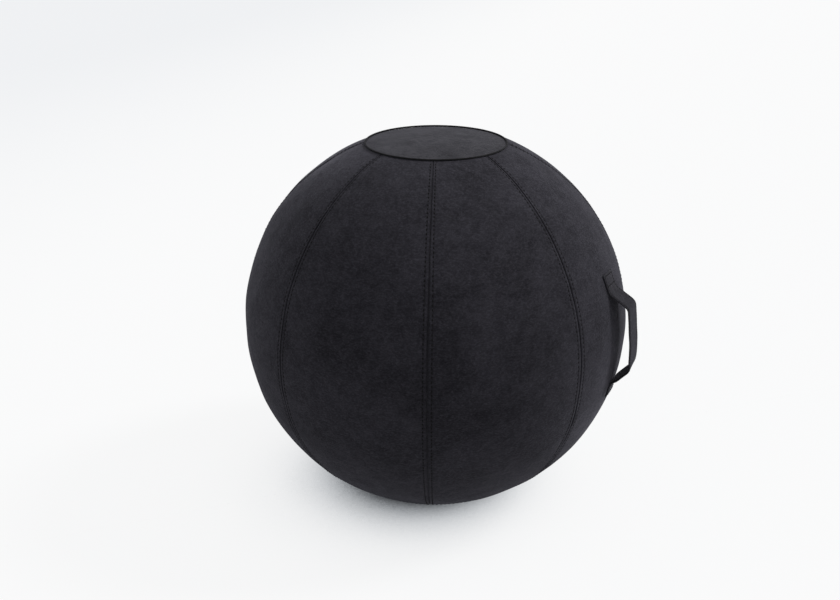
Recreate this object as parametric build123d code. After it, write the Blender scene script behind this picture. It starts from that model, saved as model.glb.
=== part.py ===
from build123d import *
import math
import os

# A sitting ball: an air bladder in a sewn cover of eight gores, with a piped round panel
# on top, a flat base panel that a coil zip lets go of, and a strap handle on the +X side.
# The origin is on the floor under the middle of the ball, and +Z is up.

# Ball and cover cloth
ball_diameter = 650.0
cloth_thickness = 1.5
soft_play = 0.3
gore_count = 8
gore_strip_count = 5
gore_band_count = 17

# Seams between gores: the turned edges stand apart by the gap and slope down into it
seam_gap = 0.3
seam_depth = 0.8
seam_shoulder_width = 2.5

# Top panel and the piping around it
top_ring_radius = 115.0
top_rise_height = 7.0
dome_ring_count = 4
dome_strip_count = 48
piping_diameter = 2.8
piping_side_count = 6
tongue_thickness = 0.8
tongue_depth = 2.6

# Base panel: flat on the floor inside the flat radius, and round with the ball outside it
base_flat_radius = 115.0
base_band_count = 2
base_strip_count = 72

# Zip around the base
zip_radius = 165.0
zip_opening_width = 14.0
zip_middle = 0.0
end_strip_length = 68.0
zip_slot_width = 1.1
zip_hem_width = 10.0
tape_width = 14.0
tape_thickness = 0.6
tape_play = 0.6
coil_width = 2.4
coil_height = 2.1
coil_corner_width = 0.7
seat_play = 0.1
stop_length = 3.0
stop_wall_thickness = 0.7
end_tab_length = 3.0

# Zip slider and its pull
slider_length = 12.0
slider_plate_thickness = 1.0
slider_flange_width = 1.0
slider_nose_width = 2.4
run_play = 0.15
web_thickness = 0.7
bridge_length = 7.4
bridge_width = 2.2
bridge_bar_thickness = 1.0
pull_bar_diameter = 1.2
pull_eye_play = 0.4
pull_arm_width = 1.2
pull_thickness = 1.2
pull_window_length = 5.0
pull_length = 21.0
pull_tip_width = 7.0
pull_hole_diameter = 3.0

# Air bladder and its valve
bladder_play = 0.3
bladder_wall = 1.5
bladder_strip_count = 24
bladder_band_count = 14
crown_ring_count = 3
valve_azimuth = 0.0
valve_tube_diameter = 9.0
valve_tube_length = 14.0
valve_flange_diameter = 17.0
valve_flange_thickness = 0.7
valve_bore_diameter = 5.0
valve_fit = 0.1
plug_head_diameter = 9.0
plug_head_thickness = 1.1
plug_length = 11.0
plug_rib_count = 1
plug_rib_height = 0.35
plug_rib_length = 1.6
plug_tip_diameter = 3.6

# Strap handle: the centre line runs over these latitudes, at these shares of its reach
strap_width = 38.0
strap_thickness = 2.6
strap_reach_height = 24.0
strap_latitudes = (23.3, 18.1, 12.9, 1.6, -4.3, -10.1, -15.8)
strap_height_shares = (0.0, 0.0, 0.99, 0.96, 1.0, 0.0, 0.0)
lift_off_bend_radius = 8.0
upper_knee_bend_radius = 13.0
outer_bow_radius = 220.0
lower_knee_bend_radius = 15.0
landing_bend_radius = 14.0
swing_radius = 24.0
swing_play = 0.3

# Sizes that follow
ball_radius = ball_diameter / 2
inner_radius = ball_radius - cloth_thickness
centre_height = math.sqrt(ball_radius**2 - base_flat_radius**2)
ring_plane = math.sqrt(ball_radius**2 - top_ring_radius**2)
gore_angle = 360 / gore_count
ring_gap = tongue_thickness / 2 + soft_play
tape_outer_radius = inner_radius - tape_play
tape_inner_radius = tape_outer_radius - tape_thickness
coil_foot_radius = tape_outer_radius + seat_play
coil_crown_radius = coil_foot_radius + coil_height
slider_floor_radius = tape_inner_radius - run_play - slider_plate_thickness
bladder_radius = slider_floor_radius - bladder_play
zip_polar = math.degrees(math.asin(zip_radius / ball_radius))
overrun = ball_radius / 100


def arc_degrees(length, radius=ball_radius):
    """The angle that a length along an arc of the radius spans."""
    return math.degrees(length / radius)


def ball_point(radius, polar):
    """How far out and how high a point on the ball is, its polar angle taken from straight down."""
    angle = math.radians(polar)
    return radius * math.sin(angle), centre_height - radius * math.cos(angle)


def stood(profile, azimuth, share=1):
    """The points of a profile, stood up at an azimuth and drawn in to a share of their reach."""
    turn = math.radians(azimuth)
    return [
        Vector(share * reach * math.cos(turn), share * reach * math.sin(turn), level)
        for reach, level in profile
    ]


def on_ball(radius, polar, azimuth=0.0):
    """A point at a radius from the ball's centre."""
    return stood([ball_point(radius, polar)], azimuth)[0]


def spread(start, end, count):
    """Evenly spaced values from the start to the end, with as many steps as the count."""
    return [start + (end - start) * k / count for k in range(count + 1)]


def flat_skin(sections, ring=False):
    """A solid of flat facets from section to section, which close up when they form a ring."""
    pairs = list(zip(sections, sections[1:]))
    facets = [sections[0], sections[-1]]
    if ring:
        pairs.append((sections[-1], sections[0]))
        facets = []
    for near, far in pairs:
        facets += [[near[k - 1], near[k], far[k], far[k - 1]] for k in range(len(near))]
    faces = []
    for corners in facets:
        apart = [point for k, point in enumerate(corners) if point != corners[k - 1]]
        if len(apart) > 2:
            faces.append(Face(Wire.make_polygon(apart, close=True)))
    return Solid(Shell(faces))


def flat_ring(profile, strips, azimuth=0.0):
    """A profile turned all the way round in flat strips, the first one's middle at the azimuth."""
    step = 360 / strips
    return flat_skin([stood(profile, azimuth + (k + 1 / 2) * step) for k in range(strips)], ring=True)


def surface_frame(polar, azimuth, radius=ball_radius):
    """A plane on the ball: X runs round the ball, Y up its side and Z straight out."""
    turn = math.radians(azimuth)
    around = Vector(-math.sin(turn), math.cos(turn), 0)
    place = on_ball(radius, polar, azimuth)
    outward = (place - Vector(0, 0, centre_height)).normalized()
    return Plane(origin=place, x_dir=around, z_dir=outward)


def turned(section, degrees):
    """A section in the XZ plane, turned about the ball's axis through an angle."""
    return revolve(section, Axis.Z, degrees)


def gore_panel(index):
    """One gore, from the piped ring at the top down to the zip."""
    half = gore_angle / 2 - arc_degrees(seam_gap / 2)
    flat_half = half - arc_degrees(seam_shoulder_width)
    azimuths = [-half, *spread(-flat_half, flat_half, gore_strip_count), half]
    bow = top_ring_radius * (1 - math.cos(math.radians(flat_half / gore_strip_count)))
    low = zip_polar + arc_degrees(zip_opening_width / 2)
    high = 180 - math.degrees(math.asin(top_ring_radius / ball_radius)) - arc_degrees(ring_gap + bow)
    polars = [low, *spread(low + arc_degrees(zip_hem_width), high, gore_band_count)]
    profile = [ball_point(ball_radius, polar) for polar in polars]
    profile += [ball_point(inner_radius, polar) for polar in reversed(polars)]
    edge_share = 1 - seam_depth / ball_radius
    shares = [edge_share, *[1] * (gore_strip_count + 1), edge_share]
    sections = [
        stood(profile, index * gore_angle + azimuth, share)
        for azimuth, share in zip(azimuths, shares)
    ]
    return flat_skin(sections)


def dome_radius(edge_radius, rise):
    """The radius of a shallow dome from its edge and its rise."""
    return (edge_radius**2 + rise**2) / (2 * rise)


def dome_profile(edge_radius, bend):
    """Half of a shallow dome of a bend that shares its centre with the top panel's."""
    foot = centre_height + ring_plane + top_rise_height - dome_radius(top_ring_radius, top_rise_height)
    reaches = spread(edge_radius, 0, dome_ring_count)
    return [(reach, foot + math.sqrt(bend**2 - reach**2)) for reach in reaches]


def top_panel():
    """The round panel that one sits on, slightly domed by the air under it."""
    bend, edge = dome_radius(top_ring_radius, top_rise_height), top_ring_radius - ring_gap
    over = dome_profile(edge, bend)
    under = dome_profile(edge * (bend - cloth_thickness) / bend, bend - cloth_thickness)
    return flat_ring(over + under[::-1], dome_strip_count)


def top_piping():
    """A covered cord on the ring seam, with its sewn tongue between the two cloths."""
    dome_slope = math.asin(top_ring_radius / dome_radius(top_ring_radius, top_rise_height))
    ball_slope = math.asin(top_ring_radius / ball_radius)
    tilt = math.degrees((dome_slope + ball_slope) / 2)
    seam = Vector(top_ring_radius, 0, centre_height + ring_plane)
    outward = Vector(0, 0, 1).rotate(Axis.Y, tilt)
    section_plane = Plane(origin=seam, x_dir=outward.cross(Vector(0, 1, 0)), z_dir=(0, 1, 0))
    radius = piping_diameter / 2
    cord = Pos(0, radius) * RegularPolygon(radius, piping_side_count)
    tongue = Rectangle(tongue_thickness, tongue_depth + radius, align=(Align.CENTER, Align.MAX))
    section = section_plane * (cord + Pos(0, radius) * tongue)
    return turned(section.face(), 360)


def base_panel():
    """The base: flat on the floor, then up round the ball to the zip."""
    edge = zip_polar - arc_degrees(zip_opening_width / 2)
    hem = edge - arc_degrees(zip_hem_width)
    outer_crease = math.degrees(math.asin(base_flat_radius / ball_radius))
    inner_crease = math.degrees(math.acos((centre_height - cloth_thickness) / inner_radius))
    outer_polars = [*spread(outer_crease, hem, base_band_count), edge]
    inner_polars = [*spread(inner_crease, hem, base_band_count), edge]
    profile = [(0, 0), *[ball_point(ball_radius, polar) for polar in outer_polars]]
    profile += [ball_point(inner_radius, polar) for polar in reversed(inner_polars)]
    profile.append((0, cloth_thickness))
    return flat_ring(profile, base_strip_count)


def zip_block(near, far, low, high, degrees, start):
    """A block along the zip, between two distances from its middle line and two radii."""
    corners = [
        on_ball(radius, zip_polar + arc_degrees(reach))
        for reach, radius in ((near, low), (far, low), (far, high), (near, high))
    ]
    block = turned(Face(Wire.make_polygon(corners, close=True)), degrees)
    return block.rotate(Axis.Z, start)


def along_zip(length):
    """The turn about the ball's axis that a length along the zip spans."""
    return arc_degrees(length, zip_radius)


tape_end = along_zip(stop_length + end_tab_length)
zip_arc = 360 - along_zip(end_strip_length + 2 * soft_play) - 2 * tape_end
zip_start = zip_middle - zip_arc / 2
zip_end = zip_middle + zip_arc / 2


def zip_tape(side):
    """The woven tape on one side of the zip, sewn under the edge of its cloth."""
    near, far = side * zip_slot_width / 2, side * (zip_slot_width / 2 + tape_width)
    return zip_block(
        near, far, tape_inner_radius, tape_outer_radius, zip_arc + 2 * tape_end, zip_start - tape_end
    )


def zip_coil(side):
    """The coil that stands on one tape, a bead with its crown rounded off."""
    near, far = zip_slot_width / 2, zip_slot_width / 2 + coil_width
    outline = (
        (near, coil_foot_radius),
        (far, coil_foot_radius),
        (far, coil_crown_radius - coil_corner_width),
        (far - coil_corner_width, coil_crown_radius),
        (near + coil_corner_width, coil_crown_radius),
        (near, coil_crown_radius - coil_corner_width),
    )
    corners = [on_ball(radius, zip_polar + side * arc_degrees(reach)) for reach, radius in outline]
    return turned(Face(Wire.make_polygon(corners, close=True)), zip_arc).rotate(Axis.Z, zip_start)


def zip_stop(near, far, start):
    """A clamped stop just past the end of the coils."""
    high = coil_crown_radius + stop_wall_thickness
    return zip_block(near, far, coil_foot_radius, high, along_zip(stop_length), start)


def zip_start_stop():
    """The stop that holds both rows together where the zip begins."""
    reach = zip_slot_width / 2 + coil_width + stop_wall_thickness
    return zip_stop(-reach, reach, zip_start - along_zip(stop_length + seat_play))


def zip_end_stops():
    """The two stops, one on each row, that the closed slider meets."""
    start = zip_end + along_zip(seat_play)
    near, far = zip_slot_width / 2, zip_slot_width / 2 + coil_width + stop_wall_thickness
    return Compound([zip_stop(-far, -near, start), zip_stop(near, far, start)])


def zip_end_strip():
    """The cloth strip that closes the ring where the two ends of the zip come near."""
    reach = zip_opening_width / 2 + end_tab_length
    turn = along_zip(end_strip_length)
    start = zip_end + tape_end + along_zip(soft_play)
    low = tape_outer_radius - cloth_thickness
    return zip_block(-reach, reach, low, tape_outer_radius, turn, start)


slider_half = zip_slot_width / 2 + coil_width + run_play + slider_flange_width
slider_rear_width = 2 * slider_half
slider_front_width = slider_rear_width + slider_nose_width
slider_azimuth = zip_end - along_zip(slider_length / 2 + run_play)
slider_roof = coil_crown_radius + run_play
slider_top = slider_roof + slider_plate_thickness
bridge_opening = pull_bar_diameter + pull_eye_play


def slider_outline():
    """The slider seen from outside, broad at its nose and narrower at its tail."""
    front, rear = slider_front_width / 2, slider_rear_width / 2
    nose = Pos(slider_length / 2 - front) * Circle(front)
    tail = Pos(rear - slider_length / 2) * Circle(rear)
    return make_hull((nose + tail).edges())


def zip_slider():
    """Two plates on a web, with flanges that hold the coils and a bridge for the pull."""
    turn = along_zip(slider_length + 2 * overrun)
    start = slider_azimuth - turn / 2
    wide = slider_front_width / 2 + overrun
    flange = slider_half - slider_flange_width
    floor_top = tape_inner_radius - run_play
    flange_foot = tape_outer_radius + run_play
    body = zip_block(-wide, wide, slider_roof, slider_top, turn, start)
    body += zip_block(-wide, wide, slider_floor_radius, floor_top, turn, start)
    half_web, sink = web_thickness / 2, slider_plate_thickness / 2
    body += zip_block(-half_web, half_web, floor_top - sink, slider_roof + sink, turn, start)
    for side in (-1, 1):
        near, far = side * flange, side * wide
        body += zip_block(near, far, flange_foot, slider_roof + sink, turn, start)
    frame = surface_frame(zip_polar, slider_azimuth, slider_floor_radius - overrun)
    depth = slider_top - slider_floor_radius + 2 * overrun
    body &= frame * extrude(slider_outline(), depth)
    seat = surface_frame(zip_polar, slider_azimuth, slider_top)
    rise = bridge_opening + bridge_bar_thickness
    align = (Align.CENTER, Align.CENTER, Align.MIN)
    arch = Pos(0, 0, -sink) * Box(bridge_length, bridge_width, rise + sink, align=align)
    arch = fillet(arch.edges().filter_by(Axis.Y).group_by(Axis.Z)[-1], bridge_bar_thickness)
    tunnel = Box(bridge_length - 2 * bridge_bar_thickness, 2 * bridge_width, bridge_opening, align=align)
    return body + seat * (arch - tunnel)


def zip_pull():
    """The pull, hanging straight out from the bridge by its round bar."""
    reach = bridge_width / 2 + pull_eye_play + pull_arm_width
    tip = pull_tip_width / 2
    sides = FilletPolyline(
        (-reach, 0),
        (-reach, pull_window_length),
        (-tip, pull_length - tip),
        (-tip, pull_length),
        (tip, pull_length),
        (tip, pull_length - tip),
        (reach, pull_window_length),
        (reach, 0),
        radius=(pull_arm_width, tip / 2, tip / 2, tip / 2, tip / 2, pull_arm_width),
    )
    outline = make_face(sides.edges() + [Line((reach, 0), (-reach, 0))])
    window = Rectangle(2 * (reach - pull_arm_width), 2 * pull_window_length)
    hole = Pos(0, pull_length - pull_tip_width / 2) * Circle(pull_hole_diameter / 2)
    blade = extrude(outline - window - hole, pull_thickness / 2, both=True)
    bar = Rot(0, 90, 0) * Cylinder(pull_bar_diameter / 2, 2 * reach)
    seat = surface_frame(zip_polar, slider_azimuth, slider_top + bridge_opening / 2)
    hang = Plane(origin=seat.origin, x_dir=seat.y_dir, z_dir=seat.x_dir)
    return hang * (blade + bar)


def meeting_radius(radius, other, height):
    """How far from the axis two balls on it meet, with the other one's centre at a height."""
    level = (radius**2 - other**2 + height**2) / (2 * height)
    return math.sqrt(radius**2 - level**2)


def air_profile(inset):
    """Half the bladder's outline: a flat foot, the round ball and a shallow crown."""
    radius = bladder_radius - inset
    floor = cloth_thickness + soft_play + inset
    bend = dome_radius(top_ring_radius, top_rise_height)
    crown_foot = ring_plane + top_rise_height - bend
    crown_reach = meeting_radius(radius, bend - floor, crown_foot)
    low = math.degrees(math.acos((centre_height - floor) / radius))
    high = 180 - math.degrees(math.asin(crown_reach / radius))
    side = [ball_point(radius, polar) for polar in spread(low, high, bladder_band_count)]
    return [(0, floor), *side, *dome_profile(crown_reach, bend - floor)[1:]]


def valve_frame():
    """The plane on the flat strip of the bladder that carries the valve, which looks out of it."""
    half_step = 180 / bladder_strip_count
    lower, upper = air_profile(0)[1:3]
    left, right = (stood([lower, upper], valve_azimuth + side * half_step) for side in (-1, 1))
    middle = (left[0] + left[1] + right[0] + right[1]) / 4
    around = right[0] - left[0]
    return Plane(origin=middle, x_dir=around, z_dir=around.cross(left[1] - left[0]))


def bladder():
    """The air bladder, with a hole for its valve."""
    outside = flat_ring(air_profile(0), bladder_strip_count, valve_azimuth)
    air = flat_ring(air_profile(bladder_wall), bladder_strip_count, valve_azimuth)
    hole = Cylinder(valve_tube_diameter / 2 + valve_fit, valve_flange_diameter)
    return outside - air - valve_frame() * hole


def valve_seat():
    """The soft sleeve in the bladder that the plug presses into."""
    flange, tube = valve_flange_diameter / 2, valve_tube_diameter / 2
    bore = valve_bore_diameter / 2
    top = seat_play + valve_flange_thickness
    outline = (
        (bore, top),
        (flange, top),
        (flange, seat_play),
        (tube, seat_play),
        (tube, -valve_tube_length),
        (bore, -valve_tube_length),
    )
    section = Face(Wire.make_polygon([(x, 0, z) for x, z in outline], close=True))
    return valve_frame() * turned(section, 360)


def valve_plug():
    """The stopper: a flat head on a ribbed shank that narrows to its tip."""
    top = seat_play + valve_flange_thickness + valve_fit
    rib = valve_bore_diameter / 2 - valve_fit
    shank = rib - plug_rib_height
    shoulder = plug_length - plug_rib_count * plug_rib_length
    outline = [(0, top + plug_head_thickness), (plug_head_diameter / 2, top + plug_head_thickness)]
    outline += [(plug_head_diameter / 2, top), (shank, top)]
    for k in range(plug_rib_count):
        foot = top - shoulder / 2 - k * plug_rib_length
        outline += [(shank, foot), (rib, foot), (shank, foot - plug_rib_length / 2)]
    outline += [(plug_tip_diameter / 2, top - plug_length), (0, top - plug_length)]
    section = Face(Wire.make_polygon([(x, 0, z) for x, z in outline], close=True))
    return valve_frame() * turned(section, 360)


def strap_points():
    """The corners of the strap's centre line, from the upper sewn end down."""
    base = ball_radius + soft_play + strap_thickness / 2
    return [
        on_ball(base + share * strap_reach_height, 90 + latitude)
        for latitude, share in zip(strap_latitudes, strap_height_shares)
    ]


def strap():
    """The whole strap, both sewn ends and the loop, before it is parted."""
    knees = (upper_knee_bend_radius, outer_bow_radius, lower_knee_bend_radius)
    bends = (lift_off_bend_radius, *knees, landing_bend_radius)
    path = FilletPolyline(*strap_points(), radius=bends)
    start = Plane(origin=path @ 0, x_dir=(0, 1, 0), z_dir=path % 0)
    return sweep(start * Rectangle(strap_width, strap_thickness), path)


def swing_cylinder(radius):
    """A long round bar about the line through the two places where the strap leaves the ball."""
    points = strap_points()
    upper, lower = points[1], points[-2]
    plane = Plane(origin=(upper + lower) / 2, z_dir=upper - lower)
    return plane * Cylinder(radius, ball_diameter)


def sewn_ends():
    """The two ends of the strap that are sewn to the cover, upper one first."""
    pieces = (strap() & swing_cylinder(swing_radius)).solids()
    return sorted(pieces, key=lambda piece: -piece.center().Z)


def handle_loop():
    """The free loop of the strap, which swings to each side."""
    return strap() - swing_cylinder(swing_radius + swing_play)


def write_parts():
    """Builds every piece and writes each one to its own file."""
    upper_end, lower_end = sewn_ends()
    pieces = {
        "bladder": bladder(),
        "valve_seat": valve_seat(),
        "valve_plug": valve_plug(),
        "top_panel": top_panel(),
        "top_piping": top_piping(),
        "base_panel": base_panel(),
        "zip_tape_inner": zip_tape(-1),
        "zip_tape_outer": zip_tape(1),
        "zip_coil_inner": zip_coil(-1),
        "zip_coil_outer": zip_coil(1),
        "zip_start_stop": zip_start_stop(),
        "zip_end_stops": zip_end_stops(),
        "zip_end_strip": zip_end_strip(),
        "zip_slider": zip_slider(),
        "zip_pull": zip_pull(),
        "handle_upper_end": upper_end,
        "handle_lower_end": lower_end,
        "handle_loop": handle_loop(),
    }
    for index in range(gore_count):
        pieces[f"gore_panel_{index + 1}"] = gore_panel(index)
    os.makedirs("parts", exist_ok=True)
    for name, piece in pieces.items():
        export_step(piece, f"parts/{name}.step")


write_parts()
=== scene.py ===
"""A sitting ball in a sewn cover of brushed cloth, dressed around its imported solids.

Lengths are in metres and angles in radians, unless a name says degrees. The origin is on the
floor under the middle of the ball, +Z is up, and +X points from the ball to its strap handle.
Polar angles are taken from straight down, and azimuths from +X.
"""

import logging
import math
from collections.abc import Callable
from dataclasses import dataclass, replace
from enum import Enum
from functools import cached_property

import bmesh
import bpy
import numpy as np
from mathutils import Matrix, Vector


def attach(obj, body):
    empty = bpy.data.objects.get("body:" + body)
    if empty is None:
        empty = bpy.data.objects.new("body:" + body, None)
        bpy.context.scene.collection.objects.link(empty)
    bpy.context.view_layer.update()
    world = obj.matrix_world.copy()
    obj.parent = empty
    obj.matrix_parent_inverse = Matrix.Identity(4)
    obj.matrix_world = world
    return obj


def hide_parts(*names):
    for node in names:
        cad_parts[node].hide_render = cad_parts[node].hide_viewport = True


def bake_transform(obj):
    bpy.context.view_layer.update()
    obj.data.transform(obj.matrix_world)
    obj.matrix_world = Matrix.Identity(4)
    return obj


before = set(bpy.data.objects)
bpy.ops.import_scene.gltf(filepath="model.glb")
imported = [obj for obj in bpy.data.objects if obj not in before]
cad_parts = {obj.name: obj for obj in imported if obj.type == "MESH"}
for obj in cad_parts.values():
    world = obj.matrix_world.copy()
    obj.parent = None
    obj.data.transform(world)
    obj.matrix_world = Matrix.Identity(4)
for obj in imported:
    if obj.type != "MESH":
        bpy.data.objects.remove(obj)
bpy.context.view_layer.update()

Array = np.ndarray
Colour = tuple[float, float, float]
Triple = tuple[float, float, float]
Pair = tuple[float, float]
Line = tuple[Array, Array]
TAU = 2 * math.pi
UP = np.array((0.0, 0.0, 1.0))
LEVEL = np.array((0.0, 1.0, 0.0))
TINY = 1e-12
MERGE_GAP = 1e-6
log = logging.getLogger("sitting_ball")


class Body(str, Enum):
    """The bodies that pieces ride on."""

    COVER = "cover"
    HANDLE = "handle"
    SLIDER = "slider"
    PULL = "pull"


class Slot(str, Enum):
    """The record's material slots."""

    COVER = "cover_cloth"
    TOP = "top_cloth"
    PIPING = "piping_cloth"
    BASE = "base_cloth"
    STRAP = "strap_cloth"
    BLADDER = "bladder_skin"
    VALVE = "valve_plastic"
    TAPE = "zip_tape"
    COIL = "zip_coil"
    METAL = "zip_metal"


# ---------------------------------------------------------------------------
# Shapes shared by the sub-assemblies
# ---------------------------------------------------------------------------


@dataclass(frozen=True)
class Ball:
    """The sizes that every sub-assembly of the ball shares."""

    radius: float = 0.325
    flat_radius: float = 0.115
    ring_radius: float = 0.115
    top_rise: float = 0.007
    zip_radius: float = 0.165
    zip_opening: float = 0.014
    cloth: float = 0.0015
    gores: int = 8

    @property
    def centre(self) -> float:
        """The height of the ball's centre over the floor."""
        return math.sqrt(self.radius**2 - self.flat_radius**2)

    @property
    def ring_level(self) -> float:
        """The height of the piped ring's seam over the floor."""
        return self.centre + math.sqrt(self.radius**2 - self.ring_radius**2)

    @property
    def ring_polar(self) -> float:
        """The polar angle of the piped ring."""
        return math.pi - math.asin(self.ring_radius / self.radius)

    @property
    def zip_polar(self) -> float:
        """The polar angle of the middle line of the zip."""
        return math.asin(self.zip_radius / self.radius)

    @property
    def hem_angle(self) -> float:
        """The angle from the zip's middle line to the hem on either side of it."""
        return self.zip_opening / 2 / self.radius

    @property
    def half_gore(self) -> float:
        """Half the turn that a gore takes round the ball."""
        return math.pi / self.gores

    @property
    def dome_bend(self) -> float:
        """The radius of the top panel's shallow dome."""
        return (self.ring_radius**2 + self.top_rise**2) / (2 * self.top_rise)

    def points(self, radius: Array, polar: Array, azimuth: Array) -> Array:
        """Places points around the ball's centre.

        The reach is the radius times the sine of the polar angle, and the height is the
        centre's less the radius times the cosine.

        Args:
            radius: Distance from the ball's centre.
            polar: Polar angle from straight down.
            azimuth: Azimuth from +X.

        Returns:
            The points, with a last axis of three.
        """
        reach, level = radius * np.sin(polar), self.centre - radius * np.cos(polar)
        return spun(reach, level, azimuth)

    def outward(self, points: Array) -> Array:
        """Unit vectors from the ball's centre through the points."""
        return unit(points - self.centre * UP)

    def dome_height(self, reach: Array) -> Array:
        """The height of the top panel's dome at a reach, a circle of the dome's bend."""
        crown = self.ring_level + self.top_rise
        return crown - self.dome_bend + np.sqrt(self.dome_bend**2 - np.asarray(reach) ** 2)


@dataclass(frozen=True)
class Waves:
    """Soft unevenness: a sum of sine waves of about one length in random directions."""

    length: float
    height: float
    seed: int
    count: int = 14
    shortest: float = 0.6
    longest: float = 1.7

    def at(self, points: Array) -> Array:
        """The height of the waves at each point, with the seed's directions and phases."""
        draw = np.random.default_rng(self.seed)
        ways = unit(draw.normal(size=(3, self.count)).T).T
        ways = ways * TAU / (self.length * draw.uniform(self.shortest, self.longest, self.count))
        phases = draw.uniform(0, TAU, self.count)
        return self.height * np.sin(points @ ways + phases).sum(axis=-1) / math.sqrt(self.count)


def unit(vectors: Array) -> Array:
    """The vectors, each made one long."""
    return vectors / np.maximum(np.linalg.norm(vectors, axis=-1, keepdims=True), TINY)


def ease(value: Array, low: float, high: float) -> Array:
    """A smooth step from 0 at low to 1 at high: three shares squared less two cubed."""
    share = np.clip((value - low) / (high - low), 0, 1)
    return share * share * (3 - 2 * share)


def bell(distance: Array, width: float) -> Array:
    """A bell: 1 at no distance, and e to the minus square of the distance in widths elsewhere."""
    return np.exp(-((distance / width) ** 2))


def even_shares(count: int) -> Array:
    """As many even shares as the count, the last one 1 and none of them 0."""
    return np.linspace(0, 1, count + 1)[1:]


def full_turn(count: int) -> Array:
    """As many even angles round a full turn as the count."""
    return np.linspace(0, TAU, count, endpoint=False)


def circle(angle: Array) -> Array:
    """Cosines and sines of the angles, with a last axis of two."""
    return np.stack([np.cos(angle), np.sin(angle)], axis=-1)


def spun(reach: Array, level: Array, azimuth: Array) -> Array:
    """Points at reaches from the ball's upright axis, at levels and azimuths."""
    parts = (reach * np.cos(azimuth), reach * np.sin(azimuth), level)
    return np.stack(np.broadcast_arrays(*parts), axis=-1)


def mirrored(columns: Array, sign: int = 1) -> Array:
    """The columns times the sign, and then the plain ones in reverse from the last but one."""
    return np.concatenate([sign * columns, columns[:, -2::-1]], axis=1)


def lengths_along(path: Array) -> Array:
    """The path's length up to each of its points."""
    return np.concatenate([[0], np.cumsum(np.linalg.norm(np.diff(path, axis=0), axis=1))])


def sample(rows: Array, run: Array, at: Array) -> Array:
    """Rows read off between those that belong to the lengths of the run."""
    return np.stack([np.interp(at, run, column) for column in rows.T], axis=-1)


def turned_edge(reach: float, depth: float, thickness: float, steps: int) -> tuple[Array, ...]:
    """Where cloth turns down into a seam: a quarter of an ellipse outside and one inside.

    The outer face runs from the seam's plane, at full depth, to the open cloth at the reach.
    The inner face runs beside it, a thickness further in.

    Args:
        reach: How far from the seam the cloth starts to turn down.
        depth: How deep it goes.
        thickness: Thickness of the cloth.
        steps: How many points the curve has.

    Returns:
        Distances and depths of the outer face, then of the inner face.
    """
    turn = np.linspace(0, np.pi / 2, steps)
    near, rise = reach * (1 - np.cos(turn)), np.sin(turn)
    return near, depth * (1 - rise), thickness + near, depth - (depth - thickness) * rise


def grid_quads(rows: int, columns: int, wrap: bool, ring: bool = False) -> Array:
    """The quads of a grid numbered row by row, with columns wrapped and rows closed to a ring."""
    row = np.arange(rows if ring else rows - 1)[:, None]
    row, below = row * columns, (row + 1) % rows * columns
    column = np.arange(columns if wrap else columns - 1)[None, :]
    after = (column + 1) % columns
    corners = (row + column, row + after, below + after, below + column)
    return np.stack(np.broadcast_arrays(*corners), axis=-1).reshape(-1, 4)


def link(name: str, data: bpy.types.ID) -> bpy.types.Object:
    """A new object of the data, linked to the scene."""
    piece = bpy.data.objects.new(name, data)
    bpy.context.scene.collection.objects.link(piece)
    return piece


def make_object(name: str, points: Array, faces: Array, uv: Array | None = None,
                pressed_and_shaded: Array | None = None) -> bpy.types.Object:
    """Makes a smooth-shaded mesh object at the origin.

    Args:
        name: The piece's name.
        points: Its vertices, one row each.
        faces: Its quads, one row of four vertex numbers each.
        uv: A pattern coordinate for each vertex, or None.
        pressed_and_shaded: How much pressed pile and painted groove shade darken each vertex, from
            0 to 1, or None.

    Returns:
        The new object, linked to the scene.
    """
    mesh = bpy.data.meshes.new(name)
    mesh.vertices.add(len(points))
    mesh.loops.add(faces.size)
    mesh.polygons.add(len(faces))
    mesh.vertices.foreach_set("co", points.astype(np.float32).ravel())
    mesh.loops.foreach_set("vertex_index", faces.astype(np.int32).ravel())
    starts = np.arange(len(faces), dtype=np.int32) * faces.shape[1]
    mesh.polygons.foreach_set("loop_start", starts)
    mesh.update(calc_edges=True)
    if uv is not None:
        layer = mesh.uv_layers.new(name="UVMap")
        layer.data.foreach_set("uv", uv[faces.ravel()].astype(np.float32).ravel())
    # The mark of pressed pile and painted groove shade, which the cloth's material reads.
    if pressed_and_shaded is not None:
        groove_shade_layer = mesh.attributes.new("pressed_and_shaded", "FLOAT", "POINT")
        groove_shade_layer.data.foreach_set("value", pressed_and_shaded.astype(np.float32).ravel())
    mesh.polygons.foreach_set("use_smooth", np.ones(len(faces), bool))
    return link(name, mesh)


def rework(mesh: bpy.types.Mesh, *edits: Callable[[bmesh.types.BMesh], object]) -> None:
    """Merges a mesh's vertices that lie together, and then makes the edits in order."""
    work = bmesh.new()
    work.from_mesh(mesh)
    bmesh.ops.remove_doubles(work, verts=work.verts, dist=MERGE_GAP)
    for edit in edits:
        edit(work)
    work.to_mesh(mesh)
    work.free()


def weld(piece: bpy.types.Object) -> bpy.types.Object:
    """Merges vertices that lie together, which closes poles, and turns all faces outwards."""
    rework(
        piece.data,
        lambda work: bmesh.ops.dissolve_degenerate(work, edges=work.edges, dist=MERGE_GAP),
        lambda work: bmesh.ops.recalc_face_normals(work, faces=work.faces),
    )
    return piece


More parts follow.
